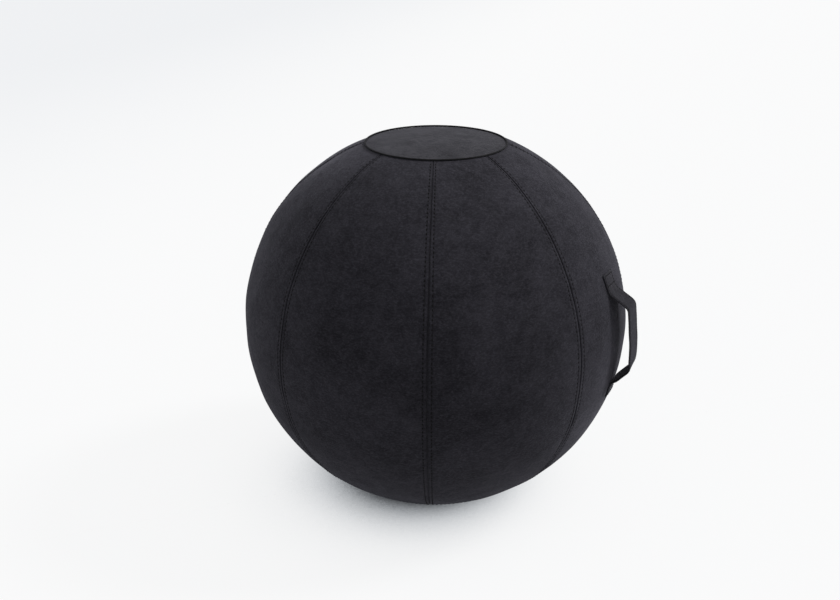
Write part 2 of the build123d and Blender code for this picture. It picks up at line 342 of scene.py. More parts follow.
def make_shell(name: str, outer: Array, inner: Array, wrap: bool = False,
               uv: Array | None = None, pressed_and_shaded: Array | None = None) -> bpy.types.Object:
    """Makes a closed cloth from its two faces and the narrow walls between their edges.

    Args:
        name: The piece's name.
        outer: Grid of points on the outer face, rows by columns by three.
        inner: The same grid on the inner face.
        wrap: Whether the columns close up into a ring.
        uv: Pattern coordinates of the grid, rows by columns by two, or None.
        pressed_and_shaded: How much pressed pile and painted groove shade darken the outer grid, or
            None.

    Returns:
        The closed piece.
    """
    rows, columns = outer.shape[:2]
    count = rows * columns
    number = np.arange(count).reshape(rows, columns)
    quads = grid_quads(rows, columns, wrap)
    if wrap:
        rims = [np.append(number[0], number[0, 0]), np.append(number[-1], number[-1, 0])[::-1]]
    else:
        rims = [number[0], number[-1][::-1], number[::-1, 0], number[:, -1]]
    walls = [np.stack((rim[:-1], rim[1:], rim[1:] + count, rim[:-1] + count), -1) for rim in rims]
    faces = np.concatenate([quads, quads[:, ::-1] + count, *walls])
    points = np.concatenate([outer.reshape(-1, 3), inner.reshape(-1, 3)])
    pattern = None if uv is None else np.concatenate([uv.reshape(-1, 2)] * 2)
    groove_shade_marks = None if pressed_and_shaded is None else np.append(pressed_and_shaded, 0 * pressed_and_shaded)
    return weld(make_object(name, points, faces, pattern, groove_shade_marks))


def make_tube(name: str, path: Array, sides: Array, ups: Array, section: Array,
              ring: bool = False, pressed_and_shaded: Array | None = None) -> bpy.types.Object:
    """Carries a closed section along a path, as points of side and up vectors of its own.

    Args:
        name: The piece's name.
        path: Points of the path.
        sides: Vector to the section's right at each point.
        ups: Unit vector to the section's top at each point.
        section: Points of the closed section, right and up, one set for all or for each point.
        ring: Whether the path closes up.
        pressed_and_shaded: How much pressed pile and painted groove shade darken each point of the
            section, or None.

    Returns:
        The closed piece, with a pattern of lengths round and along it.
    """
    section = np.broadcast_to(section, (len(path), *section.shape[-2:]))
    body = path[:, None] + section[..., :1] * sides[:, None] + section[..., 1:] * ups[:, None]
    rows, columns = body.shape[:2]
    uv = np.stack(np.meshgrid(lengths_along(section[0]), lengths_along(path)), axis=-1)
    if not ring:
        middles = np.repeat(body[[0, -1]].mean(axis=1)[:, None], columns, axis=1)
        body = np.concatenate([middles[:1], body, middles[1:]])
        uv = np.concatenate([uv[:1], uv, uv[-1:]])
        rows += 2
    quads = grid_quads(rows, columns, True, ring)
    groove_shade_marks = None if pressed_and_shaded is None else np.tile(pressed_and_shaded, rows)
    return weld(make_object(name, body.reshape(-1, 3), quads, uv.reshape(-1, 2), groove_shade_marks))


def even_path(path: Array, step: float) -> Array:
    """The path with points at even steps along it."""
    run = lengths_along(path)
    return sample(path, run, np.linspace(0, run[-1], max(2, int(round(run[-1] / step)) + 1)))


def soften(path: Array, spread: float) -> Array:
    """Rounds an even path's corners: each point becomes a bell-shaped average of its neighbours.

    Args:
        path: Points at even steps.
        spread: Width of the bell, in steps.

    Returns:
        The rounded path, with the same ends.
    """
    reach = int(3 * spread) + 1
    weights = np.exp(-0.5 * (np.arange(-reach, reach + 1) / spread) ** 2)
    weights = weights / weights.sum()
    before = 2 * path[0] - path[reach:0:-1]
    after = 2 * path[-1] - path[-2:-reach - 2:-1]
    longer = np.concatenate([before, path, after])
    return np.stack([np.convolve(column, weights, "valid") for column in longer.T], axis=-1)


def lathe(profile: Array, slices: int) -> Array:
    """Turns a profile of reaches and levels round the upright axis."""
    return spun(profile[:, :1], profile[:, 1:], full_turn(slices)[None, :])


def inset(profile: Array, depth: float) -> Array:
    """The profile moved in by a depth, square to itself and to its right-hand side going up."""
    way = unit(np.gradient(profile, axis=0))
    return profile - depth * np.stack([way[:, 1], -way[:, 0]], axis=-1)


@dataclass(frozen=True)
class Stitches:
    """A line of separate stitches, each a short thread that dips into the cloth at both ends."""

    pitch: float = 0.0070
    share: float = 0.62
    thread: float = 0.00115
    flatness: float = 1.45
    lift: float = 0.00035
    sink: float = 0.00045
    sides: int = 8
    rings: int = 7

    def along(self, path: Array, normals: Array) -> Line:
        """Lays stitches along a path on a cloth.

        A stitch's middle line is a parabola over its length, from the sink under the cloth at
        both ends to the lift over it. The thread is pressed flat, and thins out to nothing at
        the ends.

        Args:
            path: Points of the line on the cloth's face.
            normals: The cloth's outward direction at each point.

        Returns:
            Vertices and quads of all the stitches.
        """
        run = lengths_along(path)
        count = max(1, int(run[-1] / self.pitch))
        middle = (np.arange(count) + 0.5) * run[-1] / count
        at, up = sample(path, run, middle), unit(sample(normals, run, middle))
        way = unit(sample(np.gradient(path, run, axis=0), run, middle))
        side = unit(np.cross(way, up))
        share = np.linspace(-1, 1, self.rings)
        length = share * self.pitch * self.share / 2
        height = self.lift - (self.lift + self.sink) * share**2
        girth = self.thread / 2 * np.sqrt(np.clip(1 - share**4, 0, 1))[:, None]
        turn = full_turn(self.sides)
        wide, tall = self.flatness * girth * np.cos(turn), height[:, None] + girth * np.sin(turn)
        local = np.stack(np.broadcast_arrays(length[:, None], wide, tall), axis=-1).reshape(-1, 3)
        points = at[:, None] + np.einsum("kc,ncd->nkd", local, np.stack([way, side, up], axis=1))
        quads = grid_quads(self.rings, self.sides, True)
        quads = quads[None] + (np.arange(count) * len(local))[:, None, None]
        return points.reshape(-1, 3), quads.reshape(-1, 4)

    def piece(self, name: str, lines: list[Line]) -> bpy.types.Object:
        """Makes one piece of all the stitches along several lines of points and normals."""
        points, faces, first = [], [], 0
        for path, normals in lines:
            some, quads = self.along(path, normals)
            points.append(some)
            faces.append(quads + first)
            first += len(some)
        return weld(make_object(name, np.concatenate(points), np.concatenate(faces)))


# ---------------------------------------------------------------------------
# Finishes
# ---------------------------------------------------------------------------

# A mix node has sockets for several kinds of data, and these are the ones for colours.
MIX_INPUTS, MIX_OUTPUT = (0, 6, 7), 2
# Most values of a noise lie in this range.
MOST = (0.3, 0.7)


@dataclass(frozen=True)
class Noise:
    """Cloudy noise, with a number of features to the metre and of finer layers over them.

    It may be stretched by a factor along each axis, and a range of it widened to 0 to 1.
    """

    scale: float
    detail: float
    roughness: float
    distortion: float = 0.0
    stretch: Triple | None = None
    widened: Pair | None = None


class Nodes:
    """Builds nodes in the tree of a material or of the world."""

    def __init__(self, tree: bpy.types.NodeTree) -> None:
        """Keeps the tree to work on."""
        self.tree = tree

    def feed(self, target: bpy.types.NodeSocket, value: object) -> None:
        """Links a socket to another, or sets it to a plain value."""
        if isinstance(value, bpy.types.NodeSocket):
            self.tree.links.new(value, target)
        elif target.type == "RGBA":
            target.default_value = (*value, 1.0)
        else:
            target.default_value = value

    def feed_named(self, node: bpy.types.Node, **inputs: object) -> None:
        """Feeds a node's inputs by their names, written with underscores, but for None."""
        for name, value in inputs.items():
            if value is not None:
                label = name.replace("_", " ").title().replace("Ior", "IOR")
                self.feed(node.inputs[label], value)

    def node(self, kind: str, **inputs: object) -> bpy.types.Node:
        """Adds a node of a kind and feeds its inputs."""
        node = self.tree.nodes.new(f"ShaderNode{kind}")
        self.feed_named(node, **inputs)
        return node

    def math(self, operation: str, first: object, second: object,
             clamp: bool = False) -> bpy.types.NodeSocket:
        """The result of a sum on two values."""
        node = self.node("Math")
        node.operation, node.use_clamp = operation, clamp
        self.feed(node.inputs[0], first)
        self.feed(node.inputs[1], second)
        return node.outputs[0]

    def sine(self, turns: bpy.types.NodeSocket) -> bpy.types.NodeSocket:
        """The sine of a number of full turns."""
        return self.math("SINE", self.math("MULTIPLY", turns, TAU), 0.0)

    def seen(self) -> bpy.types.NodeSocket:
        """1 for rays that see a thing directly, in a glossy face or through glass, 0 for others."""
        rays = self.node("LightPath").outputs
        direct = self.math("MAXIMUM", rays["Is Camera Ray"], rays["Is Glossy Ray"])
        return self.math("MAXIMUM", direct, rays["Is Transmission Ray"])

    def attribute(self, name: str) -> bpy.types.NodeSocket:
        """A number that the mesh carries at its vertices, 0 where it carries none."""
        node = self.node("Attribute")
        node.attribute_name = name
        return node.outputs["Fac"]

    def spread(self, value: object, low: float, high: float, to_low: float = 0.0,
               to_high: float = 1.0) -> bpy.types.NodeSocket:
        """Moves a value from one range to another and holds it there."""
        node = self.node("MapRange", value=value, from_min=low, from_max=high, to_min=to_low,
                         to_max=to_high)
        node.interpolation_type = "SMOOTHSTEP"
        return node.outputs["Result"]

    def blend(self, share: object, first: object, second: object) -> bpy.types.NodeSocket:
        """A colour between two, by a share of the second."""
        node = self.node("Mix")
        node.data_type = "RGBA"
        for place, value in zip(MIX_INPUTS, (share, first, second)):
            self.feed(node.inputs[place], value)
        return node.outputs[MIX_OUTPUT]

    def weigh(self, *parts: tuple[bpy.types.NodeSocket, float]) -> bpy.types.NodeSocket:
        """The sum of several values, each times its weight."""
        total = self.math("MULTIPLY", *parts[0])
        for value, weight in parts[1:]:
            total = self.math("ADD", total, self.math("MULTIPLY", value, weight))
        return total

    def bump(self, height: object, strength: float, distance: float,
             normal: bpy.types.NodeSocket | None = None) -> bpy.types.NodeSocket:
        """A bumped normal from a height."""
        node = self.node("Bump", strength=strength, distance=distance, height=height, normal=normal)
        return node.outputs["Normal"]


class Shader(Nodes):
    """Builds the nodes of one material around a principled shader."""

    def __init__(self, name: str) -> None:
        """Starts a material with a shader, its output and texture coordinates."""
        self.material = bpy.data.materials.new(name)
        self.material.use_nodes = True
        super().__init__(self.material.node_tree)
        self.tree.nodes.clear()
        self.surface = self.node("BsdfPrincipled")
        self.node("OutputMaterial", surface=self.surface.outputs["BSDF"])
        self.coordinates = self.node("TexCoord").outputs

    def placed(self, stretch: Triple, pattern: str = "Object") -> bpy.types.NodeSocket:
        """Object coordinates, or the piece's own UV, stretched by a factor along each axis."""
        return self.node("Mapping", vector=self.coordinates[pattern], scale=stretch).outputs[0]

    def noise(self, noise: Noise) -> bpy.types.NodeSocket:
        """Cloudy noise on object coordinates."""
        vector = self.placed(noise.stretch) if noise.stretch else self.coordinates["Object"]
        node = self.node("TexNoise", vector=vector, scale=noise.scale, detail=noise.detail,
                         roughness=noise.roughness, distortion=noise.distortion)
        value = node.outputs["Fac"]
        return self.spread(value, *noise.widened) if noise.widened else value

    def finish(self, colour: object, roughness: object, normal: bpy.types.NodeSocket | None = None,
               **settings: object) -> bpy.types.Material:
        """Feeds the shader and returns the material."""
        self.feed_named(self.surface, base_color=colour, roughness=roughness, normal=normal,
                        **settings)
        return self.material


CLOUDS = Noise(12.0, 4, 0.60, 0.5, widened=(0.34, 0.66))


@dataclass(frozen=True)
class BrushedCloth:
    """Suede-like cloth: a short pile with cloudy patches where it was brushed either way."""

    name: str
    dark: Colour
    light: Colour
    sheen: float = 0.11
    sheen_roughness: float = 0.40
    sheen_tint: Colour = (0.86, 0.84, 1.0)
    gloss: float = 0.12
    roughness: Pair = (0.98, 0.88)
    clouds: Noise = CLOUDS
    patches: Noise = Noise(50.0, 6, 0.70, 0.9, (1.0, 1.0, 1.3), (0.32, 0.68))
    grain: Noise = Noise(340.0, 3, 0.80, 0.3, (0.7, 0.7, 1.4), (0.40, 0.70))
    pile: Noise = Noise(1100.0, 2, 0.7)
    weights: Triple = (0.24, 0.22, 0.54)
    # Painted shade: the mesh's pressed mark blends the colour towards a darker copy of the dark
    # tone, for pressed pile and for shade in seam and stitch grooves.
    groove_shade_share: float = 0.70
    groove_shade_dark: float = 0.30
    bumps: tuple[tuple[float, float], ...] = ((0.20, 0.0010), (0.35, 0.0006), (0.55, 0.0005))

    def material(self) -> bpy.types.Material:
        """Mixes clouds, brushed patches and grain, darkened by pressed pile and painted groove
        shade.

        Returns:
            The material, bumped by the patches, the grain and the pile.
        """
        shader = Shader(self.name)
        clouds, patches, grain, pile = (
            shader.noise(noise) for noise in (self.clouds, self.patches, self.grain, self.pile)
        )
        brushed = shader.weigh(*zip((clouds, patches, grain), self.weights))
        colour = shader.blend(brushed, self.dark, self.light)
        # Painted groove shade and pressed pile: darkens the colour along seams and stitch lines, by
        # the mesh's mark.
        deep = tuple(self.groove_shade_dark * part for part in self.dark)
        pressed_and_shaded = shader.math("MULTIPLY", shader.attribute("pressed_and_shaded"), self.groove_shade_share)
        colour = shader.blend(pressed_and_shaded, colour, deep)
        normal = None
        for height, (strength, distance) in zip((patches, grain, pile), self.bumps):
            normal = shader.bump(height, strength, distance, normal)
        return shader.finish(
            colour, shader.spread(patches, 0.0, 1.0, *self.roughness), normal,
            sheen_weight=self.sheen, sheen_roughness=self.sheen_roughness,
            sheen_tint=self.sheen_tint, specular_ior_level=self.gloss,
        )


@dataclass(frozen=True)
class WovenTape:
    """Plain woven tape, with ribs across it at a pitch, read from the piece's own pattern."""

    name: str
    dark: Colour
    light: Colour
    pitch: float = 0.0009
    ribs: float = 0.0006
    fuzz: Noise = Noise(2200.0, 2, 0.6)

    def material(self) -> bpy.types.Material:
        """Crosses two sets of sine ribs and roughens them."""
        shader = Shader(self.name)
        pattern = shader.placed((1 / self.pitch, 1 / self.ribs, 1.0), "UV")
        turns = shader.node("SeparateXYZ", vector=pattern).outputs
        weave = shader.math("MULTIPLY", shader.sine(turns[0]), shader.sine(turns[1]))
        weave, fuzz = shader.spread(weave, -0.8, 0.8), shader.noise(self.fuzz)
        colour = shader.blend(shader.math("MULTIPLY", weave, fuzz), self.dark, self.light)
        woven = shader.bump(weave, strength=0.7, distance=0.00025)
        normal = shader.bump(fuzz, strength=0.25, distance=0.0002, normal=woven)
        return shader.finish(
            colour, roughness=0.85, normal=normal, sheen_weight=0.2, specular_ior_level=0.25)


@dataclass(frozen=True)
class SewingThread:
    """Twisted thread: fine ridges along each stitch."""

    name: str
    dark: Colour
    light: Colour
    strands: Noise = Noise(2600.0, 2, 0.5, 0.5, (1.0, 1.0, 0.5))

    def material(self) -> bpy.types.Material:
        """Streaks the thread with stretched noise."""
        shader = Shader(self.name)
        strands = shader.noise(self.strands)
        colour = shader.blend(shader.spread(strands, *MOST), self.dark, self.light)
        normal = shader.bump(strands, strength=0.5, distance=0.0003)
        return shader.finish(colour, roughness=0.85, normal=normal, specular_ior_level=0.12)


@dataclass(frozen=True)
class Moulded:
    """Moulded plastic or rubber, faintly cloudy and finely grained."""

    name: str
    dark: Colour
    light: Colour
    roughness: float
    uneven: Pair = (-0.06, 0.08)
    clouds: Noise = Noise(24.0, 3, 0.5, widened=MOST)
    grain: Noise = Noise(700.0, 2, 0.6)

    def material(self) -> bpy.types.Material:
        """Mixes a cloudy tint with a fine grain."""
        shader = Shader(self.name)
        colour = shader.blend(shader.noise(self.clouds), self.dark, self.light)
        grain = shader.noise(self.grain)
        low, high = (self.roughness + more for more in self.uneven)
        normal = shader.bump(grain, strength=0.12, distance=0.0002)
        return shader.finish(colour, shader.spread(grain, *MOST, low, high), normal)


@dataclass(frozen=True)
class LacqueredMetal:
    """Die-cast metal under dark lacquer, rubbed bare in spots along its raised edges."""

    name: str
    lacquer: Colour
    bare: Colour
    raised: Pair = (0.53, 0.62)
    spots: Noise = Noise(900.0, 4, 0.65, widened=(0.50, 0.80))
    scratches: Noise = Noise(1500.0, 3, 0.6, 0.0, (1.0, 0.15, 1.0))
    roughness: Pair = (0.30, 0.48)

    def material(self) -> bpy.types.Material:
        """Shows bare metal where the surface is pointed and the noise is high."""
        shader = Shader(self.name)
        pointed = shader.node("NewGeometry").outputs["Pointiness"]
        edges, spots = shader.spread(pointed, *self.raised), shader.noise(self.spots)
        rubbed = shader.math("MULTIPLY", edges, spots, clamp=True)
        scratches = shader.noise(self.scratches)
        return shader.finish(
            shader.blend(rubbed, self.lacquer, self.bare),
            shader.spread(scratches, *MOST, *self.roughness),
            shader.bump(scratches, strength=0.08, distance=0.0001), metallic=rubbed,
        )


@dataclass(frozen=True)
class Finishes:
    """All the finishes of the ball."""

    cover: BrushedCloth = BrushedCloth(
        "cover_cloth", (0.0082, 0.0077, 0.0101), (0.0385, 0.0367, 0.0460),
    )
    top: BrushedCloth = BrushedCloth(
        "top_cloth", (0.0090, 0.0088, 0.0102), (0.0385, 0.0376, 0.0419), sheen=0.13,
        clouds=replace(CLOUDS, scale=17.0), weights=(0.22, 0.40, 0.38),
    )
    piping: BrushedCloth = BrushedCloth(
        "piping_cloth", (0.0075, 0.0074, 0.0080), (0.0160, 0.0157, 0.0170), sheen=0.05,
    )
    strap: BrushedCloth = BrushedCloth(
        "strap_cloth", (0.0115, 0.0110, 0.0134), (0.0300, 0.0288, 0.0345),
    )
    base: BrushedCloth = BrushedCloth(
        "base_cloth", (0.0080, 0.0078, 0.0094), (0.0165, 0.0160, 0.0190),
    )
    tape: WovenTape = WovenTape("zip_tape", (0.006, 0.006, 0.0065), (0.020, 0.020, 0.022))
    thread: SewingThread = SewingThread(
        "sewing_thread", (0.0018, 0.0018, 0.0019), (0.0055, 0.0055, 0.0056),
    )
    coil: Moulded = Moulded("coil_nylon", (0.010, 0.010, 0.011), (0.018, 0.018, 0.020), 0.35)
    bladder: Moulded = Moulded(
        "bladder_rubber", (0.030, 0.031, 0.034), (0.046, 0.047, 0.050), 0.42,
    )
    valve: Moulded = Moulded("valve_plastic", (0.62, 0.62, 0.58), (0.70, 0.70, 0.66), 0.38)
    metal: LacqueredMetal = LacqueredMetal(
        "lacquered_metal", (0.012, 0.012, 0.013), (0.15, 0.148, 0.142),
    )


class Wardrobe:
    """Makes each finish's material once and dresses pieces in it."""

    def __init__(self, finishes: Finishes) -> None:
        """Keeps the finishes and the materials made from them so far."""
        self.finishes = finishes
        self.made: dict[str, bpy.types.Material] = {}

    def material(self, finish: str) -> bpy.types.Material:
        """The material of a finish, made when it is first needed."""
        if finish not in self.made:
            self.made[finish] = getattr(self.finishes, finish).material()
        return self.made[finish]

    def dress(self, piece: bpy.types.Object, finish: str, slot: Slot | None = None) -> None:
        """Gives a piece one finish all over.

        Args:
            piece: The piece to dress.
            finish: The field of the finishes that it takes.
            slot: The record's slot that it belongs to, if it has one; not used.
        """
        piece.data.materials.clear()
        piece.data.materials.append(self.material(finish))
        log.info("%s: %d faces, %s", piece.name, len(piece.data.polygons), finish)

    def dress_node(self, node: str, finish: str) -> None:
        """Gives a CAD node that keeps its own shape one finish all over."""
        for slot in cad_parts[node].material_slots:
            slot.material = self.material(finish)
        log.info("%s: kept, %s", node, finish)


# ---------------------------------------------------------------------------
# Sub-assemblies
# ---------------------------------------------------------------------------


@dataclass
class GoreCover:
    """The eight gores of the cover, with a topstitched seam between every two."""

    ball: Ball
    wardrobe: Wardrobe
    seam_reach: float = 0.0013
    seam_depth: float = 0.0030
    ring_gap: float = 0.0004
    stitch_offset: float = 0.0066
    ring_stitch_offset: float = 0.0036
    hem_stitch_inset: float = 0.003
    stitch_start: float = 0.005
    stitch_end: float = 0.003
    ditch_width: float = 0.0009
    ditch_depth: float = 0.00032
    allowance_height: float = 0.00022
    allowance_middle: float = 0.5
    allowance_width: float = 0.42
    gathers: Waves = Waves(0.021, 0.00022, 5)
    gather_reach: float = 0.010
    swells: tuple[Waves, Waves] = (Waves(0.110, 0.00050, 11), Waves(0.045, 0.00016, 12))
    seam_fade: float = 0.004
    edge_fade: float = 0.006
    # Pressed pile and painted shade: how dark the seam and the stitch ditches are drawn, and how
    # wide.
    joint_shade: Pair = (0.90, 0.0016)
    ditch_shade: Pair = (0.30, 0.0012)
    edge_steps: int = 7
    hem_steps: int = 4
    ditch_span: float = 1.6
    sewn_span: float = 2.2
    sewn_steps: tuple[int, int, int] = (4, 8, 4)
    middle_steps: int = 12
    row_step: float = 0.0036
    line_points: int = 700
    hem_points: int = 2400
    stitches: Stitches = Stitches()

    @property
    def low(self) -> float:
        """The polar angle of the gores' lower edge, beside the zip."""
        return self.ball.zip_polar + self.ball.hem_angle

    @property
    def high(self) -> float:
        """The polar angle of the gores' upper edge, in the piped ring's seam."""
        return self.ball.ring_polar - self.ring_gap / self.ball.radius

    @property
    def length(self) -> float:
        """The gores' length from the ring's seam to the hem, along the ball."""
        return (self.high - self.low) * self.ball.radius

    def offset(self, polar: Array) -> Array:
        """How far from the seam the topstitching runs, less near the ring than at the equator."""
        ring = self.ball.ring_radius / self.ball.radius
        share = np.clip((np.sin(polar) - ring) / (1 - ring), 0, 1)
        return self.ring_stitch_offset + (self.stitch_offset - self.ring_stitch_offset) * share

    def relief(self, seam: Array, edge: Array, polar: Array, points: Array) -> Array:
        """How far the cloth stands over the true ball.

        It swells over the seam allowance, dips along the topstitching, gathers in short
        waves across the seam that die out away from it, and is softly uneven all over.

        Args:
            seam: Distance from the nearest seam.
            edge: Distance from the nearer of the gore's upper and lower edges.
            polar: Polar angle.
            points: Points on the true ball.

        Returns:
            The height for each point.
        """
        offset = self.offset(polar)
        swell = bell(seam - self.allowance_middle * offset, self.allowance_width * offset)
        ditch = self.ditch_depth * bell(seam - offset, self.ditch_width)
        gathers = self.gathers.at(points) * np.exp(-np.abs(seam - offset) / self.gather_reach)
        soft = self.swells[0].at(points) + self.swells[1].at(points)
        fade = ease(seam, 0.0, self.seam_fade) * ease(edge, 0.0, self.edge_fade)
        return (self.allowance_height * swell - ditch + gathers + soft) * fade

    def pressed_and_shaded(self, seam: Array, polar: Array) -> Array:
        """Pressed pile and painted groove shade: a bell at the seam, a narrower one at the
        stitching.
        """
        (joint, joint_width), (ditch, ditch_width) = self.joint_shade, self.ditch_shade
        ditch_shade_bell = bell(seam - self.offset(polar), ditch_width)
        return np.maximum(joint * bell(seam, joint_width), ditch * ditch_shade_bell)

    def turned_edge(self) -> tuple[Array, ...]:
        """The gores' edge where it turns down into a seam."""
        return turned_edge(self.seam_reach, self.seam_depth, self.ball.cloth, self.edge_steps)

    def columns(self, polar: Array) -> tuple[Array, ...]:
        """Distances from the seam and depths of one half gore, at each polar angle.

        The turned edge comes first, then the sewn zone some way past the topstitching, which
        is finest along its ditch, then the open cloth up to the gore's middle.

        Args:
            polar: The rows' polar angles.

        Returns:
            Outer distances and depths, then inner ones, each rows by columns.
        """
        out, deep, inn, inner_deep = self.turned_edge()
        half = self.ball.radius * np.sin(polar)[:, None] * self.ball.half_gore
        offset = self.offset(polar)[:, None]
        ditch, sewn = self.ditch_span * self.ditch_width, self.sewn_span * offset
        stops = (out[-1], offset - ditch, offset + ditch, sewn)
        zone = [start + (stop - start) * even_shares(count)
                for start, stop, count in zip(stops, stops[1:], self.sewn_steps)]
        plain = inn[-1] + (sewn - inn[-1]) * even_shares(sum(self.sewn_steps))
        rest = sewn + (half - sewn) * even_shares(self.middle_steps)
        flat = np.zeros(sum(self.sewn_steps) + self.middle_steps)

        def edge(values: Array) -> Array:
            """The turned edge's values, the same in every row."""
            return np.broadcast_to(values, (len(polar), len(values)))

        return (
            np.concatenate([edge(out), *zone, rest], axis=1),
            edge(np.concatenate([deep, flat])),
            np.concatenate([edge(inn), plain, rest], axis=1),
            edge(np.concatenate([inner_deep, flat + self.ball.cloth])),
        )

    def gore(self, index: int) -> bpy.types.Object:
        """One gore, as a closed cloth whose edges turn down at the seams and end in a round hem.

        Args:
            index: The gore's number, counted from 0 at +X.

        Returns:
            The gore.
        """
        ball, length, hem = self.ball, self.length, self.ball.cloth / 2
        out, deep, inn, inner_deep = self.turned_edge()
        body = np.linspace(out[-1], length - hem, int(length / self.row_step))[1:]
        body_in = np.linspace(inn[-1], length - hem, len(body) + 1)[1:]
        round_off = np.linspace(0, np.pi / 2, self.hem_steps)[1:]
        hem_out, hem_deep = length - hem + hem * np.sin(round_off), hem * (1 - np.cos(round_off))
        run, run_in = np.concatenate([out, body, hem_out]), np.concatenate([inn, body_in, hem_out])
        depth = np.concatenate([deep, np.zeros(len(body)), hem_deep])
        depth_in = np.concatenate([inner_deep, np.full(len(body), ball.cloth), 2 * hem - hem_deep])
        polar, polar_in = self.high - run / ball.radius, self.high - run_in / ball.radius
        seam, sunk, seam_in, sunk_in = self.columns(polar)
        middle = index * TAU / ball.gores

        def face(seams: Array, polars: Array, sinks: Array, rows: Array, relief: bool) -> Array:
            """Points of one face of the cloth, from the seam on one side to the other's."""
            turn = ball.half_gore - seams / (ball.radius * np.sin(polars)[:, None])
            azimuth = middle + mirrored(turn, -1)
            sink = np.maximum(mirrored(sinks), rows[:, None])
            angle = np.broadcast_to(polars[:, None], azimuth.shape)
            height = 0.0
            if relief:
                ends = np.minimum(run, length - run)[:, None]
                true = ball.points(ball.radius, angle, azimuth)
                height = self.relief(mirrored(seams), ends, angle, true)
            return ball.points(ball.radius - sink + height, angle, azimuth)

        outer = face(seam, polar, sunk, depth, True)
        inner = face(seam_in, polar_in, sunk_in, depth_in, False)
        # Marks pressed pile and painted groove shade along the seams and stitch ditches.
        groove_shade_marks = mirrored(self.pressed_and_shaded(seam, polar[:, None]))
        return make_shell(f"cover_gore_{index + 1}", outer, inner, pressed_and_shaded=groove_shade_marks)

    def on_cloth(self, seam: Array, edge: Array, polar: Array, azimuth: Array) -> Line:
        """Points on the cloth's face, with its outward directions."""
        ball = self.ball
        height = self.relief(seam, edge, polar, ball.points(ball.radius, polar, azimuth))
        points = ball.points(ball.radius + height, polar, azimuth)
        return points, ball.outward(points)

    def seam_lines(self, index: int) -> list[Line]:
        """The two lines of topstitching beside a seam."""
        ball = self.ball
        run = np.linspace(self.stitch_start, self.length - self.stitch_end, self.line_points)
        polar = self.high - run / ball.radius
        offset, ends = self.offset(polar), np.minimum(run, self.length - run)
        seam, aside = (index + 0.5) * TAU / ball.gores, offset / (ball.radius * np.sin(polar))
        return [self.on_cloth(offset, ends, polar, seam + side * aside) for side in (-1, 1)]

    def hem_line(self) -> Line:
        """The line of stitches that holds the zip's outer tape, all round above the hem."""
        ball, half = self.ball, self.ball.half_gore
        azimuth = np.linspace(0, TAU, self.hem_points)
        polar = np.full_like(azimuth, self.low + self.hem_stitch_inset / ball.radius)
        seam = (half - np.abs((azimuth + half) % (2 * half) - half)) * ball.radius * np.sin(polar)
        return self.on_cloth(seam, np.full_like(seam, self.hem_stitch_inset), polar, azimuth)

    def build(self) -> None:
        """Makes the gores and the topstitching, and sets them on the cover."""
        for index in range(self.ball.gores):
            gore = self.gore(index)
            self.wardrobe.dress(gore, "cover", Slot.COVER)
            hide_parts(f"gore_panel_{index + 1}")
            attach(gore, Body.COVER.value)
            thread = self.stitches.piece(f"seam_stitches_{index + 1}", self.seam_lines(index))
            self.wardrobe.dress(thread, "thread")
            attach(thread, Body.COVER.value)
        hem = self.stitches.piece("gore_hem_stitches", [self.hem_line()])
        self.wardrobe.dress(hem, "thread")
        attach(hem, Body.COVER.value)


